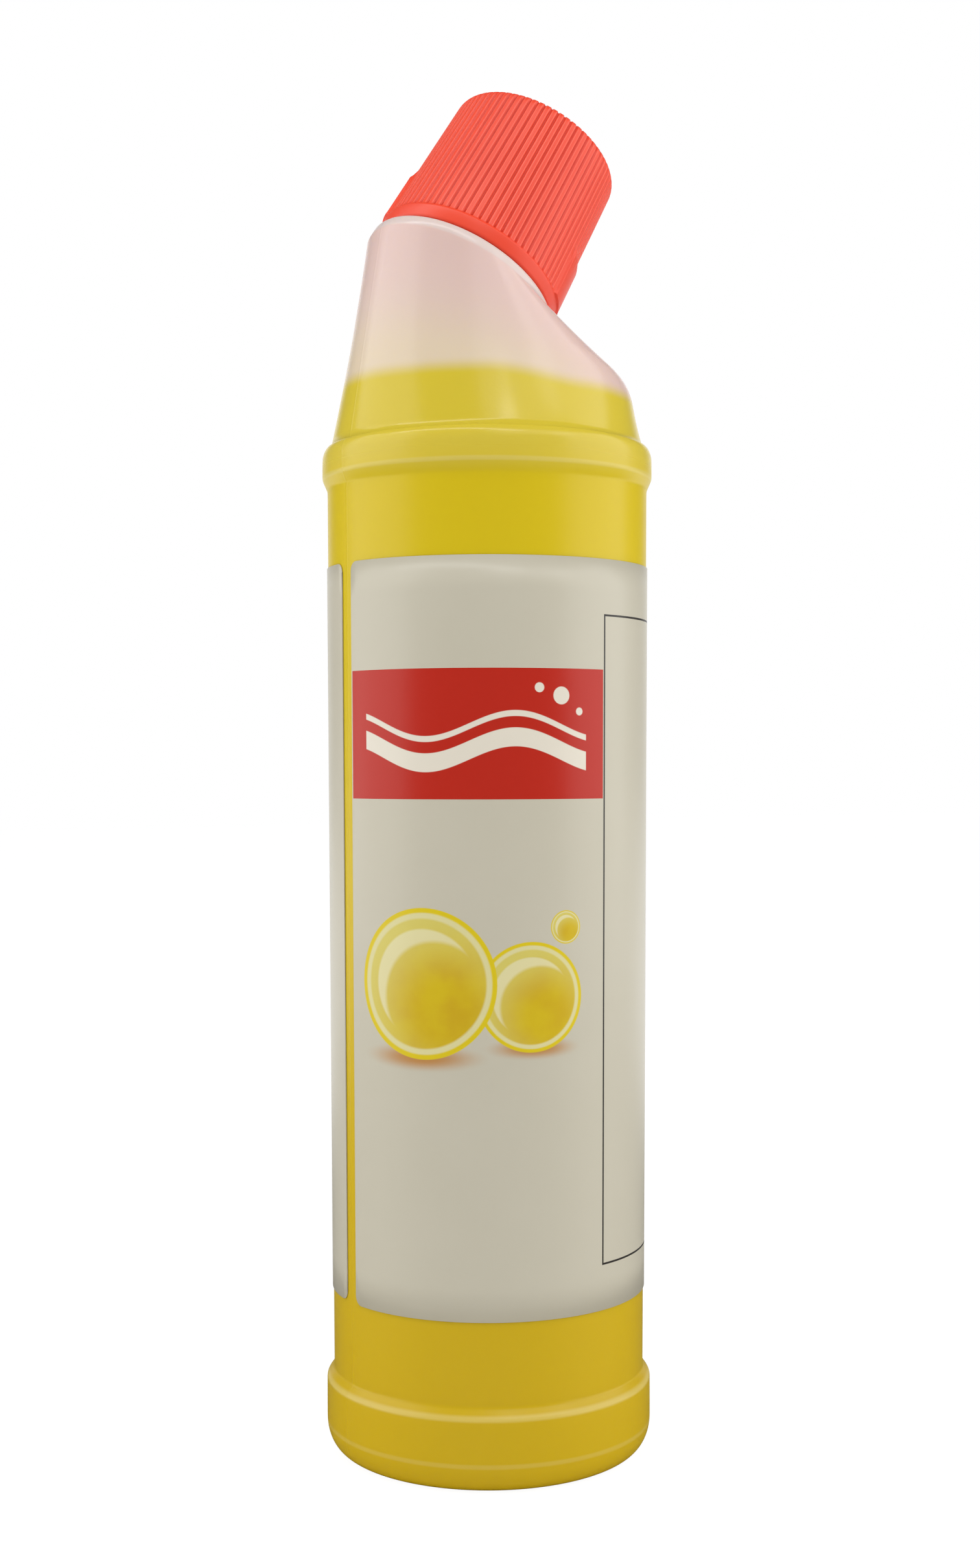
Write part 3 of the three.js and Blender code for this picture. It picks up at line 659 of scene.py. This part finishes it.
# %% Shader expressions
class Wire:
    """A socket of a node, which Python's operators join to new Math nodes."""

    def __init__(self, tree, socket):
        self.tree, self.socket = tree, socket

    def math(self, operation, *others):
        """A Math node of any operation, with this socket as its first value."""
        inputs = dict(enumerate((self, *others)))
        return add_node(self.tree, "ShaderNodeMath", {"operation": operation}, inputs)

    def __add__(self, other):
        return self.math("ADD", other)

    def __sub__(self, other):
        return self.math("SUBTRACT", other)

    def __rsub__(self, other):
        return (self * -1) + other

    def __mul__(self, other):
        return self.math("MULTIPLY", other)

    def __lt__(self, other):
        return self.math("LESS_THAN", other)

    def __gt__(self, other):
        return self.math("GREATER_THAN", other)

    def __abs__(self):
        return self.math("ABSOLUTE")

    __radd__ = __add__
    __rmul__ = __mul__

    def most(self, other):
        """The larger of two values."""
        return self.math("MAXIMUM", other)

    def step(self, low, high):
        """A smooth rise from 0 at low to 1 at high, or a fall where low is the higher one."""
        ends = {"Value": self, "From Min": low, "From Max": high}
        return add_node(self.tree, "ShaderNodeMapRange", {"interpolation_type": "SMOOTHSTEP"}, ends)


def add_node(tree, kind, settings=None, inputs=None, out=0):
    """Add a node: first its settings, then the values or links of its sockets."""
    node = tree.nodes.new(kind)
    for name, value in (settings or {}).items():
        setattr(node, name, value)
    for key, value in (inputs or {}).items():
        feed(tree, node.inputs[key], value)
    return Wire(tree, node.outputs[out])


def feed(tree, socket, value):
    """Link a wire to a socket, or set the socket's own value."""
    if isinstance(value, Wire):
        tree.links.new(value.socket, socket)
    else:
        socket.default_value = value


# %% Colours, noise and new materials
def colour(red, green, blue):
    """A colour given in a screen's 0 to 255 steps, as the linear values that a shader takes.

    These are the sRGB formulas: s / 12.92 for dark steps, and ((s + 0.055) / 1.055)^2.4 above them.
    """
    steps = np.array([red, green, blue]) / 255
    linear = np.where(steps <= 0.04045, steps / 12.92, ((steps + 0.055) / 1.055) ** 2.4)
    return (*linear.tolist(), 1.0)


def mix(tree, share, first, second):
    """Mix two colours: first where the share is 0, second where it is 1."""
    inputs = {0: share, 6: first, 7: second}
    return add_node(tree, "ShaderNodeMix", {"data_type": "RGBA"}, inputs, out=2)


def noise(tree, vector, scale, detail=2.0):
    """Soft clouds from 0 to 1: a larger scale makes them smaller, and detail adds finer ones."""
    inputs = {"Vector": vector, "Scale": scale, "Detail": detail}
    return add_node(tree, "ShaderNodeTexNoise", None, inputs)


def new_material(name):
    """A material with one principled shader: returns the material, its tree and its shader."""
    material = bpy.data.materials.new(name)
    material.use_nodes = True
    tree = material.node_tree
    return material, tree, tree.nodes["Principled BSDF"]


def object_axes(tree):
    """The object's own coordinates: three wires in millimetres and the vector in metres."""
    position = add_node(tree, "ShaderNodeTexCoord", out=3)
    axes = [add_node(tree, "ShaderNodeSeparateXYZ", None, {0: position}, out=k) for k in range(3)]
    return [axis * 1000 for axis in axes], position


def bump(tree, height, strength, distance):
    """Normals of a surface that stands out by the distance, in metres, where the height is 1."""
    inputs = {"Height": height, "Strength": strength, "Distance": distance}
    return add_node(tree, "ShaderNodeBump", None, inputs)


# %% [markdown]
# The bottle's plastic is milky and uncoloured. What one sees is mostly the gel behind it, up to the
# fill line, and above that the empty bottle's cream, which turns pinkish where the red cap's light
# reaches it. Glass-like transmission could show the gel itself, but it is slow, noisy and lost when
# the material is baked. So the wall's own colour changes with height. The wall blurs the line, so
# the two colours change over a few millimetres, and the line dips a little at one side. A fine bump
# gives the satin skin of blow-moulded plastic, and a faint ridge marks where the two halves of the
# mould met.

# %% Colours in the wall
VIEW_TURN = math.radians(-122)
LINE_BLUR_BELOW, LINE_BLUR_ABOVE, LINE_WOBBLE = 2.6, 1.4, 0.8
LINE_DIP, LINE_DIP_WIDTH = 2.4, 20
GEL_LOW, GEL_HIGH, GEL_TOP = colour(201, 168, 1), colour(210, 184, 2), colour(208, 186, 52)
CREAM_LOW, CREAM_HIGH = colour(218, 199, 172), colour(217, 194, 182)
CREAM_BY_CAP, COLLAR_CREAM = colour(217, 187, 179), colour(216, 198, 192)
CAP_GLOW_REACH, COLLAR_BLUR, CREAM_TOP = (-26, -4), (-0.3, 0.4), 250
# A pale colour painted as highlight lines along the hoops' edges, and as a paler upper hoop band.
EDGE_LIGHT, EDGE_SHARE, THICK_SHARE = colour(222, 208, 140), 0.35, 0.1
HIGHLIGHT_LINES = (
    (upper_hoop_bottom, 0.8, 1.0),
    (hoop_top + 0.2, 0.9, 1.0),
    (hoop_bottom - 0.5, 0.7, 0.45),
)
LINE_CORE = 0.2
gel_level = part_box("gel_fill")[1].z / MM
print("gel reaches", round(gel_level, 2), "mm up")


def empty_share(tree, x, y, z, position):
    """1 where the bottle is empty and 0 where gel is: a soft step of height + dip + wobble."""
    across = x * -math.sin(VIEW_TURN) + y * math.cos(VIEW_TURN)
    wobble = noise(tree, position, scale=50.0, detail=1.0) * LINE_WOBBLE
    level = z + across.step(0, LINE_DIP_WIDTH) * LINE_DIP + wobble - LINE_WOBBLE / 2
    return level.step(gel_level - LINE_BLUR_BELOW, gel_level + LINE_BLUR_ABOVE)


def cream_colour(tree, x, z):
    """The empty part's cream, by height and then by the place along the neck's axis.

    The collar's lower edge is tilted, so the step to its colour follows along - front x tilt.
    """
    along = (x - neck_origin[0]) * neck_axis[0] + (z - neck_origin[2]) * neck_axis[2]
    front = (x - neck_origin[0]) * neck_front[0] + (z - neck_origin[2]) * neck_front[2]
    tilt = (COLLAR_BACK_DROP - COLLAR_DROP) / (2 * COLLAR_RADIUS)
    above_edge = along - front * tilt + (COLLAR_BACK_DROP + COLLAR_DROP) / 2
    cream = mix(tree, z.step(gel_level, CREAM_TOP), CREAM_LOW, CREAM_HIGH)
    cream = mix(tree, along.step(*CAP_GLOW_REACH), cream, CREAM_BY_CAP)
    return mix(tree, above_edge.step(*COLLAR_BLUR), cream, COLLAR_CREAM)


def painted_highlights_and_band(z):
    """Painted highlights by EDGE_SHARE on the hoops' edges, and THICK_SHARE paler between them.

    A highlight line fades from its core to its width, by the distance from its height.
    """
    lines = [
        abs(z - height).step(width, LINE_CORE) * strength for height, width, strength in HIGHLIGHT_LINES
    ]
    edges = lines[0].most(lines[1]).most(lines[2])
    thick = z.step(body_top, body_top + 3) * z.step(shoulder_bottom + 1, upper_hoop_top)
    return (edges * EDGE_SHARE).most(thick * THICK_SHARE)


# %% Bottle plastic
GEL_CHANGE, GEL_TOP_CHANGE = (10, 190), (205, 218)
SKIN_SHARE, WAVE_SHARE, SEAM_SHARE, SEAM_EDGE = 0.3, 2.0, 0.5, (0.45, 0.1)


def bottle_plastic():
    """Milky plastic whose colour says what is behind it, with a satin skin and a mould seam."""
    material, tree, shader = new_material("milky_bottle_plastic")
    (x, y, z), position = object_axes(tree)
    gel = mix(tree, z.step(*GEL_CHANGE), GEL_LOW, GEL_HIGH)
    gel = mix(tree, z.step(*GEL_TOP_CHANGE), gel, GEL_TOP)
    base = mix(tree, empty_share(tree, x, y, z, position), gel, cream_colour(tree, x, z))
    # Painted highlights along the hoops' edges, and a paler band on the upper hoop.
    feed(tree, shader.inputs["Base Color"], mix(tree, painted_highlights_and_band(z), base, EDGE_LIGHT))
    skin = noise(tree, position, scale=1400.0, detail=3.0) * SKIN_SHARE
    waves = noise(tree, position, scale=45.0) * WAVE_SHARE
    seam = abs(y).step(*SEAM_EDGE) * SEAM_SHARE
    relief = bump(tree, skin + waves + seam, strength=0.25, distance=0.0002)
    feed(tree, shader.inputs["Normal"], relief)
    body_skin = z.step(shoulder_bottom, upper_hoop_bottom) * 0.12
    shine = noise(tree, position, scale=30.0) * 0.1
    feed(tree, shader.inputs["Roughness"], shine + 0.14 + body_skin)
    shader.inputs["Subsurface Weight"].default_value = 0.2
    shader.inputs["Subsurface Radius"].default_value = (1.0, 0.8, 0.35)
    shader.inputs["Subsurface Scale"].default_value = 0.003
    shader.inputs["Specular IOR Level"].default_value = 0.38
    return material


# %% [markdown]
# The label is printed film. A painted image could give the print, but shapes worked out in the
# shader stay sharp from close by. The print is laid out in millimetres: u runs round the film from
# the middle of the front, positive to the right, and v is the height. Fields of colour are boxes
# and discs in u and v, and a bubble is a disc with rings by the distance from its middle.

# %% Label print
FRONT_PANEL = ((-32.4, 140.6), (26.0, 167.1))
BACK_FRAME, FRAME_LINE = ((26.2, 44.2), (150.0, 178.5)), 0.42
PALE_INK, RED_INK, DARK_INK = colour(222, 214, 198), colour(184, 30, 5), colour(48, 44, 40)
BUBBLE_RIM, BUBBLE_RING = colour(214, 190, 2), colour(214, 206, 150)
BUBBLE_DEEP, BUBBLE_CLOUD = colour(198, 162, 0), colour(206, 178, 0)
BUBBLE_PALE, BUBBLE_GLINT = colour(208, 194, 96), colour(222, 216, 176)
SHADOW_BROWN = colour(182, 118, 14)


def film_place(tree):
    """The film's own u and v in millimetres as wires, and the vector that holds them."""
    vector = add_node(tree, "ShaderNodeUVMap", {"uv_map": "film"})
    u, v = (add_node(tree, "ShaderNodeSeparateXYZ", None, {0: vector}, out=k) for k in range(2))
    return u, v, vector


def distance(u, v, centre):
    """The distance of (u, v) from a centre: the square root of the summed squares."""
    right, up = u - centre[0], v - centre[1]
    return (right * right + up * up).math("SQRT")


def inside_box(u, v, low, high):
    """1 inside a rectangle and 0 outside it."""
    return (u > low[0]) * (u < high[0]) * (v > low[1]) * (v < high[1])


def lay_bubble(tree, base, place, centre, radius):
    """Lay a round yellow bubble on a base: a bright rim, a pale ring, a deep middle and a glint.

    The glint is a crescent: what lies inside a disc and outside the same disc moved down and right.
    """
    u, v, vector = place
    away = distance(u, v, centre)
    clouds = noise(tree, vector, scale=0.12, detail=3.0)
    lower = distance(u, v, (centre[0] + radius * 0.3, centre[1] - radius * 0.35))
    deep = mix(tree, clouds.step(0.3, 0.7), BUBBLE_DEEP, BUBBLE_CLOUD)
    body = mix(tree, lower.step(radius * 0.3, radius * 1.3), deep, BUBBLE_PALE)
    layer = mix(tree, away.step(radius * 0.95, radius * 0.92), BUBBLE_RIM, BUBBLE_RING)
    layer = mix(tree, away.step(radius * 0.88, radius * 0.84), layer, body)
    moved = distance(u, v, (centre[0] + radius * 0.16, centre[1] - radius * 0.18))
    glint = away.step(radius * 0.74, radius * 0.7) * moved.step(radius * 0.7, radius * 0.78)
    layer = mix(tree, glint * 0.7, layer, BUBBLE_GLINT)
    return mix(tree, away.step(radius + 0.12, radius - 0.12), base, layer)


def lay_shadow(tree, base, place, centre, wide, high, strength):
    """Lay a soft warm shadow: an ellipse that fades from its middle to its edge."""
    u, v, _ = place
    away = distance(u * (1 / wide), v * (1 / high), (centre[0] / wide, centre[1] / high))
    return mix(tree, away.step(1.0, 0.2) * strength, base, SHADOW_BROWN)


# %% [markdown]
# The film's front holds a red panel with two ribbons and three dots, and under it three bubbles
# with soft shadows. The back holds a thin frame. Each could be a small mesh laid on the film, but
# print has no thickness, so each is laid on the one before by mixing colours. The film itself is a
# little wavy and shines softly.

# %% Label film
SHADOWS = (((-14, 88.2), 15, 3.2), ((9.5, 90.2), 11, 2.6))
BUBBLES = (((9.0, 100.6), 11.2), ((-13.5, 103.2), 15.4), ((16.5, 114.6), 3.4))
DOTS = (((15.4, 161.6), 1.8), ((10.6, 163.2), 1.0), ((19.6, 158.4), 0.8))
WIDE_RIBBON, THIN_RIBBON, RIBBON_HALF_LENGTH, RIBBON_MIDDLE = (150.6, 1.9), (155.4, 0.6), 24.5, 3.2
SOFT_EDGE, RIPPLE_PACE, RIPPLE_START, RIPPLE_HEIGHT = 0.1, 0.17, 0.6, 2.6
FILM_PALE, FILM_CLOUD, SHADOW_STRENGTH = colour(191, 185, 166), colour(195, 189, 171), 0.85


def panel_print(u, v):
    """1 on the ribbons and dots: bands about a sine line, cut off at both ends, and small discs."""
    ripple = (u * RIPPLE_PACE + RIPPLE_START).math("SINE") * RIPPLE_HEIGHT
    bands = [
        abs(v - height - ripple).step(half + SOFT_EDGE, half - SOFT_EDGE)
        for height, half in (WIDE_RIBBON, THIN_RIBBON)
    ]
    from_middle = abs(u + RIBBON_MIDDLE)
    held = from_middle.step(RIBBON_HALF_LENGTH + SOFT_EDGE, RIBBON_HALF_LENGTH - SOFT_EDGE)
    marks = bands[0].most(bands[1]) * held
    for centre, radius in DOTS:
        marks = marks.most(distance(u, v, centre).step(radius + SOFT_EDGE, radius - SOFT_EDGE))
    return marks


def back_frame(u, v):
    """1 on a thin frame line: inside a box and outside a box that is one line smaller."""
    (left, low), (right, high) = BACK_FRAME
    inner_low = (left + FRAME_LINE, low + FRAME_LINE)
    inner_high = (right - FRAME_LINE, high - FRAME_LINE)
    return inside_box(u, v, *BACK_FRAME) * (1 - inside_box(u, v, inner_low, inner_high))


def label_film():
    """Off-white film with its print laid on in order, a wavy surface and a soft shine."""
    material, tree, shader = new_material("printed_label_film")
    place = u, v, vector = film_place(tree)
    base = mix(tree, noise(tree, vector, scale=0.05), FILM_PALE, FILM_CLOUD)
    for centre, wide, high in SHADOWS:
        base = lay_shadow(tree, base, place, centre, wide, high, SHADOW_STRENGTH)
    for centre, radius in BUBBLES:
        base = lay_bubble(tree, base, place, centre, radius)
    base = mix(tree, inside_box(u, v, *FRONT_PANEL), base, RED_INK)
    base = mix(tree, panel_print(u, v), base, PALE_INK)
    base = mix(tree, back_frame(u, v), base, DARK_INK)
    feed(tree, shader.inputs["Base Color"], base)
    fine = noise(tree, vector, scale=1.6, detail=3.0)
    waves = noise(tree, vector, scale=0.08)
    relief = bump(tree, fine * 0.3 + waves * 2, strength=0.15, distance=0.0002)
    feed(tree, shader.inputs["Normal"], relief)
    feed(tree, shader.inputs["Roughness"], fine * 0.1 + 0.26)
    shader.inputs["Specular IOR Level"].default_value = 0.45
    return material


# %% The film's UV map
def lay_film_uv(piece):
    """Store u and v for every corner: u is the turn from the front x the radius, v is the height.

    The turn is wrapped inside the gap between the film's two ends, so no face is torn.
    """
    mesh = piece.data
    places = np.empty(len(mesh.vertices) * 3)
    mesh.vertices.foreach_get("co", places)
    places = places.reshape(-1, 3) / MM
    wrap = -math.pi - VIEW_TURN
    turn = (np.arctan2(places[:, 1], places[:, 0]) - VIEW_TURN - wrap) % (2 * np.pi) + wrap
    corners = np.empty(len(mesh.loops), dtype=np.int32)
    mesh.loops.foreach_get("vertex_index", corners)
    film = np.stack([turn * LABEL_RADIUS, places[:, 2]], axis=-1)[corners]
    mesh.uv_layers.new(name="film").uv.foreach_set("vector", film.ravel())
    print("film runs from", film.min(axis=0).round(1), "to", film.max(axis=0).round(1), "mm")


lay_film_uv(label)

# %% [markdown]
# The cap is coloured polypropylene with a satin gloss: a little light enters it, and fine moulding
# marks break up the shine. One flat colour would look like painted wood. The plug, the disc and the
# gel are simple finishes of the same kind, so one recipe with other numbers makes all four.

# %% Moulded plastics
def moulded(name, base, second, roughness, subsurface=0.0, relief=0.1, grain=500.0):
    """A moulded plastic: two close colours in soft clouds, uneven gloss and a fine grain.

    Returns the material, its tree, its shader and the clouded colour.
    """
    material, tree, shader = new_material(name)
    _, position = object_axes(tree)
    cloud = noise(tree, position, scale=70.0)
    clouded = mix(tree, cloud, base, second)
    feed(tree, shader.inputs["Base Color"], clouded)
    feed(tree, shader.inputs["Roughness"], cloud * 0.1 + (roughness - 0.05))
    fine = noise(tree, position, scale=grain, detail=3.0)
    feed(tree, shader.inputs["Normal"], bump(tree, fine, strength=relief, distance=0.0001))
    shader.inputs["Subsurface Weight"].default_value = subsurface
    shader.inputs["Subsurface Radius"].default_value = (1.0, 0.3, 0.15)
    shader.inputs["Subsurface Scale"].default_value = 0.002
    return material, tree, shader, clouded


# %% [markdown]
# The cap's grooves carry painted shade, a deeper red, and each rib's edges a painted highlight, a
# paler red. Colours painted on the vertices could show this, but they would need a finer mesh. So
# the material works out where it is on a rib, from the angle about the neck's axis, and mixes two
# more colours in.

# %% Cap plastic and all finishes
CAP_RED, CAP_CLOUD = colour(240, 74, 42), colour(232, 62, 33)
# Painted highlight on the rib edges and painted shade in the grooves.
CREST_HIGHLIGHT_RED, GROOVE_SHADE_RED = colour(252, 150, 128), colour(206, 38, 18)
CREST_HIGHLIGHT_SHARE, GROOVE_SHADE_SHARE = 0.25, 0.4
GROOVE_SHADE_EDGE, CREST_HIGHLIGHT_RISE, CREST_HIGHLIGHT_FALL = (0.15, 0.05), (0.2, 0.26), (0.36, 0.28)
CROWN_EDGE = (17.0, 17.8)
PAD_SIDE_FADE, PAD_TOP_FADE, BAND_FADE = 0.03, 0.6, 0.4


def cap_plastic():
    """Red plastic with painted shade in its grooves and painted highlights on its rib edges.

    The angle about the neck's axis, in ribs, leaves a fraction that is 0 in the middle of a groove
    and 0.5 in the middle of a rib. The band, the pads and the crown carry no lines.
    """
    material, tree, shader, clouded = moulded(
        "red_cap_plastic", CAP_RED, CAP_CLOUD, roughness=0.38, subsurface=0.1,
    )
    (x, y, z), _ = object_axes(tree)
    x, z = x - neck_origin[0], z - neck_origin[2]
    front = x * neck_front[0] + z * neck_front[2]
    along = x * neck_axis[0] + z * neck_axis[2]
    angle = y.math("ARCTAN2", front)
    place = (angle * (RIBS / (2 * math.pi))).math("FRACT")
    from_groove = 0.5 - abs(place - 0.5)
    pad_sine, pad_top = math.sin(PAD_HALF_WIDTH), CAP_BAND_HEIGHT + PAD_HEIGHT
    beside_pad = abs((angle - PAD_TURN).math("SINE")).step(pad_sine, pad_sine + PAD_SIDE_FADE)
    clear_of_pad = beside_pad.most(along.step(pad_top - PAD_TOP_FADE, pad_top))
    radius = (front * front + y * y).math("SQRT")
    above_band = along.step(CAP_BAND_HEIGHT, CAP_BAND_HEIGHT + BAND_FADE)
    ribbed = clear_of_pad * above_band * radius.step(*CROWN_EDGE)
    # Painted shade in the grooves and a painted highlight on each rib's edges.
    groove = from_groove.step(*GROOVE_SHADE_EDGE) * ribbed
    crest = from_groove.step(*CREST_HIGHLIGHT_RISE) * from_groove.step(*CREST_HIGHLIGHT_FALL) * ribbed
    red = mix(tree, crest * CREST_HIGHLIGHT_SHARE, clouded, CREST_HIGHLIGHT_RED)
    red = mix(tree, groove * GROOVE_SHADE_SHARE, red, GROOVE_SHADE_RED)
    feed(tree, shader.inputs["Base Color"], red)
    shader.inputs["Specular IOR Level"].default_value = 0.5
    return material


PLUG_WHITE, PLUG_CLOUD = colour(226, 226, 220), colour(218, 218, 212)
FOAM_WHITE, FOAM_CLOUD = colour(232, 232, 228), colour(222, 222, 218)
GEL_YELLOW, GEL_CLOUD = colour(206, 180, 20), colour(198, 168, 10)
finishes = {
    "natural_plastic": bottle_plastic(),
    "label_film": label_film(),
    "red_plastic": cap_plastic(),
}
finishes["white_plastic"], *_ = moulded(
    "plug_plastic", PLUG_WHITE, PLUG_CLOUD, roughness=0.4, subsurface=0.1,
)
finishes["liner_foam"], *_ = moulded(
    "disc_foam", FOAM_WHITE, FOAM_CLOUD, roughness=0.7, relief=0.5, grain=1500,
)
finishes["yellow_gel"], *_ = moulded(
    "yellow_gel", GEL_YELLOW, GEL_CLOUD, roughness=0.2, subsurface=0.2, relief=0.05, grain=60,
)
print("finishes:", *sorted(finishes))
frame["nodes"]["gel_fill"].material_slots[0].material = finishes["yellow_gel"]

# %% [markdown]
# When the cap is unscrewed, some pieces move and others stay. So each new piece is parented to an
# empty named after the body that carries it, and it takes the finish of its slot.

# %% Riding and slots
for pieces, body, slot in (
    ([bottle, *deck_lugs], "bottle_body", "natural_plastic"),
    ([label], "bottle_body", "label_film"),
    ([plug], "bottle_body", "white_plastic"),
    ([liner], "liner_body", "liner_foam"),
    ([cap, *cap_lugs], "cap_body", "red_plastic"),
):
    for piece in pieces:
        piece.data.materials.append(finishes[slot])
        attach(piece, body)
    print(body, "carries", *(piece.name for piece in pieces))

# %% [markdown]
# The stage is a plain pale floor in a white studio. More light would make it white, but it would
# wash out the bottle too. So the floor and the room are made white only for what looks straight at
# them, and for gloss that shows what stands behind the bottle. The side that the bottle's front
# reflects is a dark one, as it is in a product photograph, so the gel keeps its deep colour there.

# %% Rays and directions
BEHIND = (-math.cos(VIEW_TURN), -math.sin(VIEW_TURN), 0.0)


def ray_is(tree, *kinds):
    """1 for rays of any of the kinds, such as Is Camera Ray: the largest of their outputs."""
    seen, *others = (add_node(tree, "ShaderNodeLightPath", out=kind) for kind in kinds)
    for other in others:
        seen = seen.most(other)
    return seen


def how_far_behind(tree, place):
    """How far a place or a direction points away from the camera's side: a dot product."""
    settings = {"operation": "DOT_PRODUCT"}
    return add_node(tree, "ShaderNodeVectorMath", settings, {0: place, 1: BEHIND}, out=1)


# %% Floor and room
FLOOR_HALF, FLOOR_GLOW, FLOOR_WHITE = 4.0, 0.88, 1.07
FLOOR_PALE, FLOOR_DARK = (0.92, 0.92, 0.92, 1), (0.08, 0.08, 0.08, 1)
ROOM_LIGHT, ROOM_GLOSS = 0.58, 0.10
CARD_EDGE, ROOM_EDGE = (0.2, 0.6), (0.8, 0.97)


def make_floor():
    """A square floor whose diffuse colour keeps the shadow, lifted to white for what looks at it.

    Gloss shows the white floor behind the bottle and a dark card on the floor before it.
    """
    corners = np.array([[-1, -1, 0], [1, -1, 0], [1, 1, 0], [-1, 1, 0]]) * FLOOR_HALF
    floor = add_piece("floor", corners, [(0, 1, 2, 3)])
    material, tree, shader = new_material("pale_floor")
    behind = how_far_behind(tree, add_node(tree, "ShaderNodeTexCoord", out=3)).step(*CARD_EDGE)
    gloss = ray_is(tree, "Is Glossy Ray")
    card = gloss * (1 - behind)
    feed(tree, shader.inputs["Base Color"], mix(tree, card, FLOOR_PALE, FLOOR_DARK))
    shader.inputs["Roughness"].default_value = 0.7
    shader.inputs["Specular IOR Level"].default_value = 0.2
    glow = add_node(tree, "ShaderNodeEmission", None, {"Strength": FLOOR_WHITE})
    seen = ray_is(tree, "Is Camera Ray", "Is Transmission Ray").most(gloss * behind) * FLOOR_GLOW
    plain = Wire(tree, shader.outputs[0])
    blend = add_node(tree, "ShaderNodeMixShader", None, {0: seen, 1: plain, 2: glow})
    feed(tree, tree.nodes["Material Output"].inputs["Surface"], blend)
    floor.data.materials.append(material)


def make_room():
    """A room that is white to the camera, white behind the bottle for gloss, and dimmer otherwise.

    For gloss its strength runs from ROOM_GLOSS at the camera's side to 1 behind the bottle.
    """
    world = bpy.data.worlds.new("studio")
    bpy.context.scene.world = world
    world.use_nodes = True
    tree = world.node_tree
    behind = how_far_behind(tree, add_node(tree, "ShaderNodeTexCoord", out=0)).step(*ROOM_EDGE)
    gloss = ray_is(tree, "Is Glossy Ray", "Is Transmission Ray")
    level = gloss * (behind * (1 - ROOM_GLOSS) + (ROOM_GLOSS - ROOM_LIGHT)) + ROOM_LIGHT
    background = tree.nodes["Background"]
    feed(tree, background.inputs["Strength"], ray_is(tree, "Is Camera Ray").most(level))
    background.inputs["Color"].default_value = (1, 1, 1, 1)


make_floor()
make_room()

# %% [markdown]
# The lamps are softboxes, as in a product studio. Spot lamps or a sun would draw small hard glints,
# and large area lights give the long soft bands that show how round the body is. Two tall boxes
# stand at the sides, a wide one fills in from the front, and a narrow one hangs above and draws the
# bright line on each hoop, over a highlight painted in the bottle's colour.

# %% Softboxes
AIM = Vector((0, 0, 0.15))


def softbox(name, turn, distance_out, height, width, tall, radiance):
    """An area light at a turn from the camera's side, facing the bottle.

    Its place is (distance cos turn, distance sin turn, height) about the bottle. An area light of
    one radiance gives a power of radiance x pi x area.
    """
    data = bpy.data.lights.new(name, "AREA")
    data.shape = "RECTANGLE"
    data.size, data.size_y = width, tall
    data.energy = radiance * math.pi * width * tall
    light = bpy.data.objects.new(name, data)
    bpy.context.scene.collection.objects.link(light)
    toward = VIEW_TURN + math.radians(turn)
    place = Vector((distance_out * math.cos(toward), distance_out * math.sin(toward), height))
    facing = (AIM - place).to_track_quat("-Z", "Y").to_matrix().to_4x4()
    light.matrix_world = Matrix.Translation(place) @ facing
    print(name, "gives", round(data.energy, 1), "W")


softbox(
    "left_softbox", turn=-85, distance_out=0.9, height=0.4, width=1.0, tall=1.3, radiance=1.25,
)
softbox(
    "right_softbox", turn=85, distance_out=0.9, height=0.4, width=1.0, tall=1.3, radiance=1.35,
)
softbox(
    "front_softbox", turn=36, distance_out=0.72, height=0.9, width=0.93, tall=0.45, radiance=1.15,
)
softbox(
    "top_softbox", turn=-30, distance_out=0.35, height=0.9, width=1.1, tall=0.1, radiance=5.5,
)

# %% [markdown]
# The camera was worked out from the photograph: the edges of the two hoops give its height and
# distance, and the cap's rim and the label's gap give the side that it looks from. It could be
# placed by eye, but then no outline would fall where it does in the photograph.

# %% Camera
CAMERA_DISTANCE, CAMERA_HEIGHT, CAMERA_PITCH = 443.2, 147.85, math.radians(0.58)
FOCAL_PIXELS, IMAGE_HEIGHT, SENSOR = 3137.0, 2420.0, 36.0
AXIS_OFFSET_PIXELS, CAMERA_ROLL, CLIP_START = 3.8, 0.0018, 0.01


def make_camera():
    """Place the camera by its right, up and backward directions, with a slight roll.

    The lens is the focal length in pixels over the image's height in pixels, times the sensor's.
    """
    data = bpy.data.cameras.new("photo_camera")
    data.sensor_width = SENSOR
    data.lens = FOCAL_PIXELS / IMAGE_HEIGHT * SENSOR
    data.shift_x = AXIS_OFFSET_PIXELS / IMAGE_HEIGHT
    data.clip_start = CLIP_START
    ahead = Vector((-math.cos(VIEW_TURN), -math.sin(VIEW_TURN), 0))
    right = ahead.cross(Vector((0, 0, 1)))
    forward = ahead * math.cos(CAMERA_PITCH) - Vector((0, 0, math.sin(CAMERA_PITCH)))
    facing = Matrix((right, right.cross(forward), -forward)).transposed()
    place = -ahead * CAMERA_DISTANCE * MM + Vector((0, 0, CAMERA_HEIGHT * MM))
    camera = bpy.data.objects.new("photo_camera", data)
    bpy.context.scene.collection.objects.link(camera)
    roll = Matrix.Rotation(-CAMERA_ROLL, 3, "Z")
    camera.matrix_world = Matrix.Translation(place) @ (facing @ roll).to_4x4()
    bpy.context.scene.camera = camera
    print("camera lens is", round(data.lens, 2), "mm")


make_camera()
bpy.context.scene.view_settings.view_transform = "Standard"
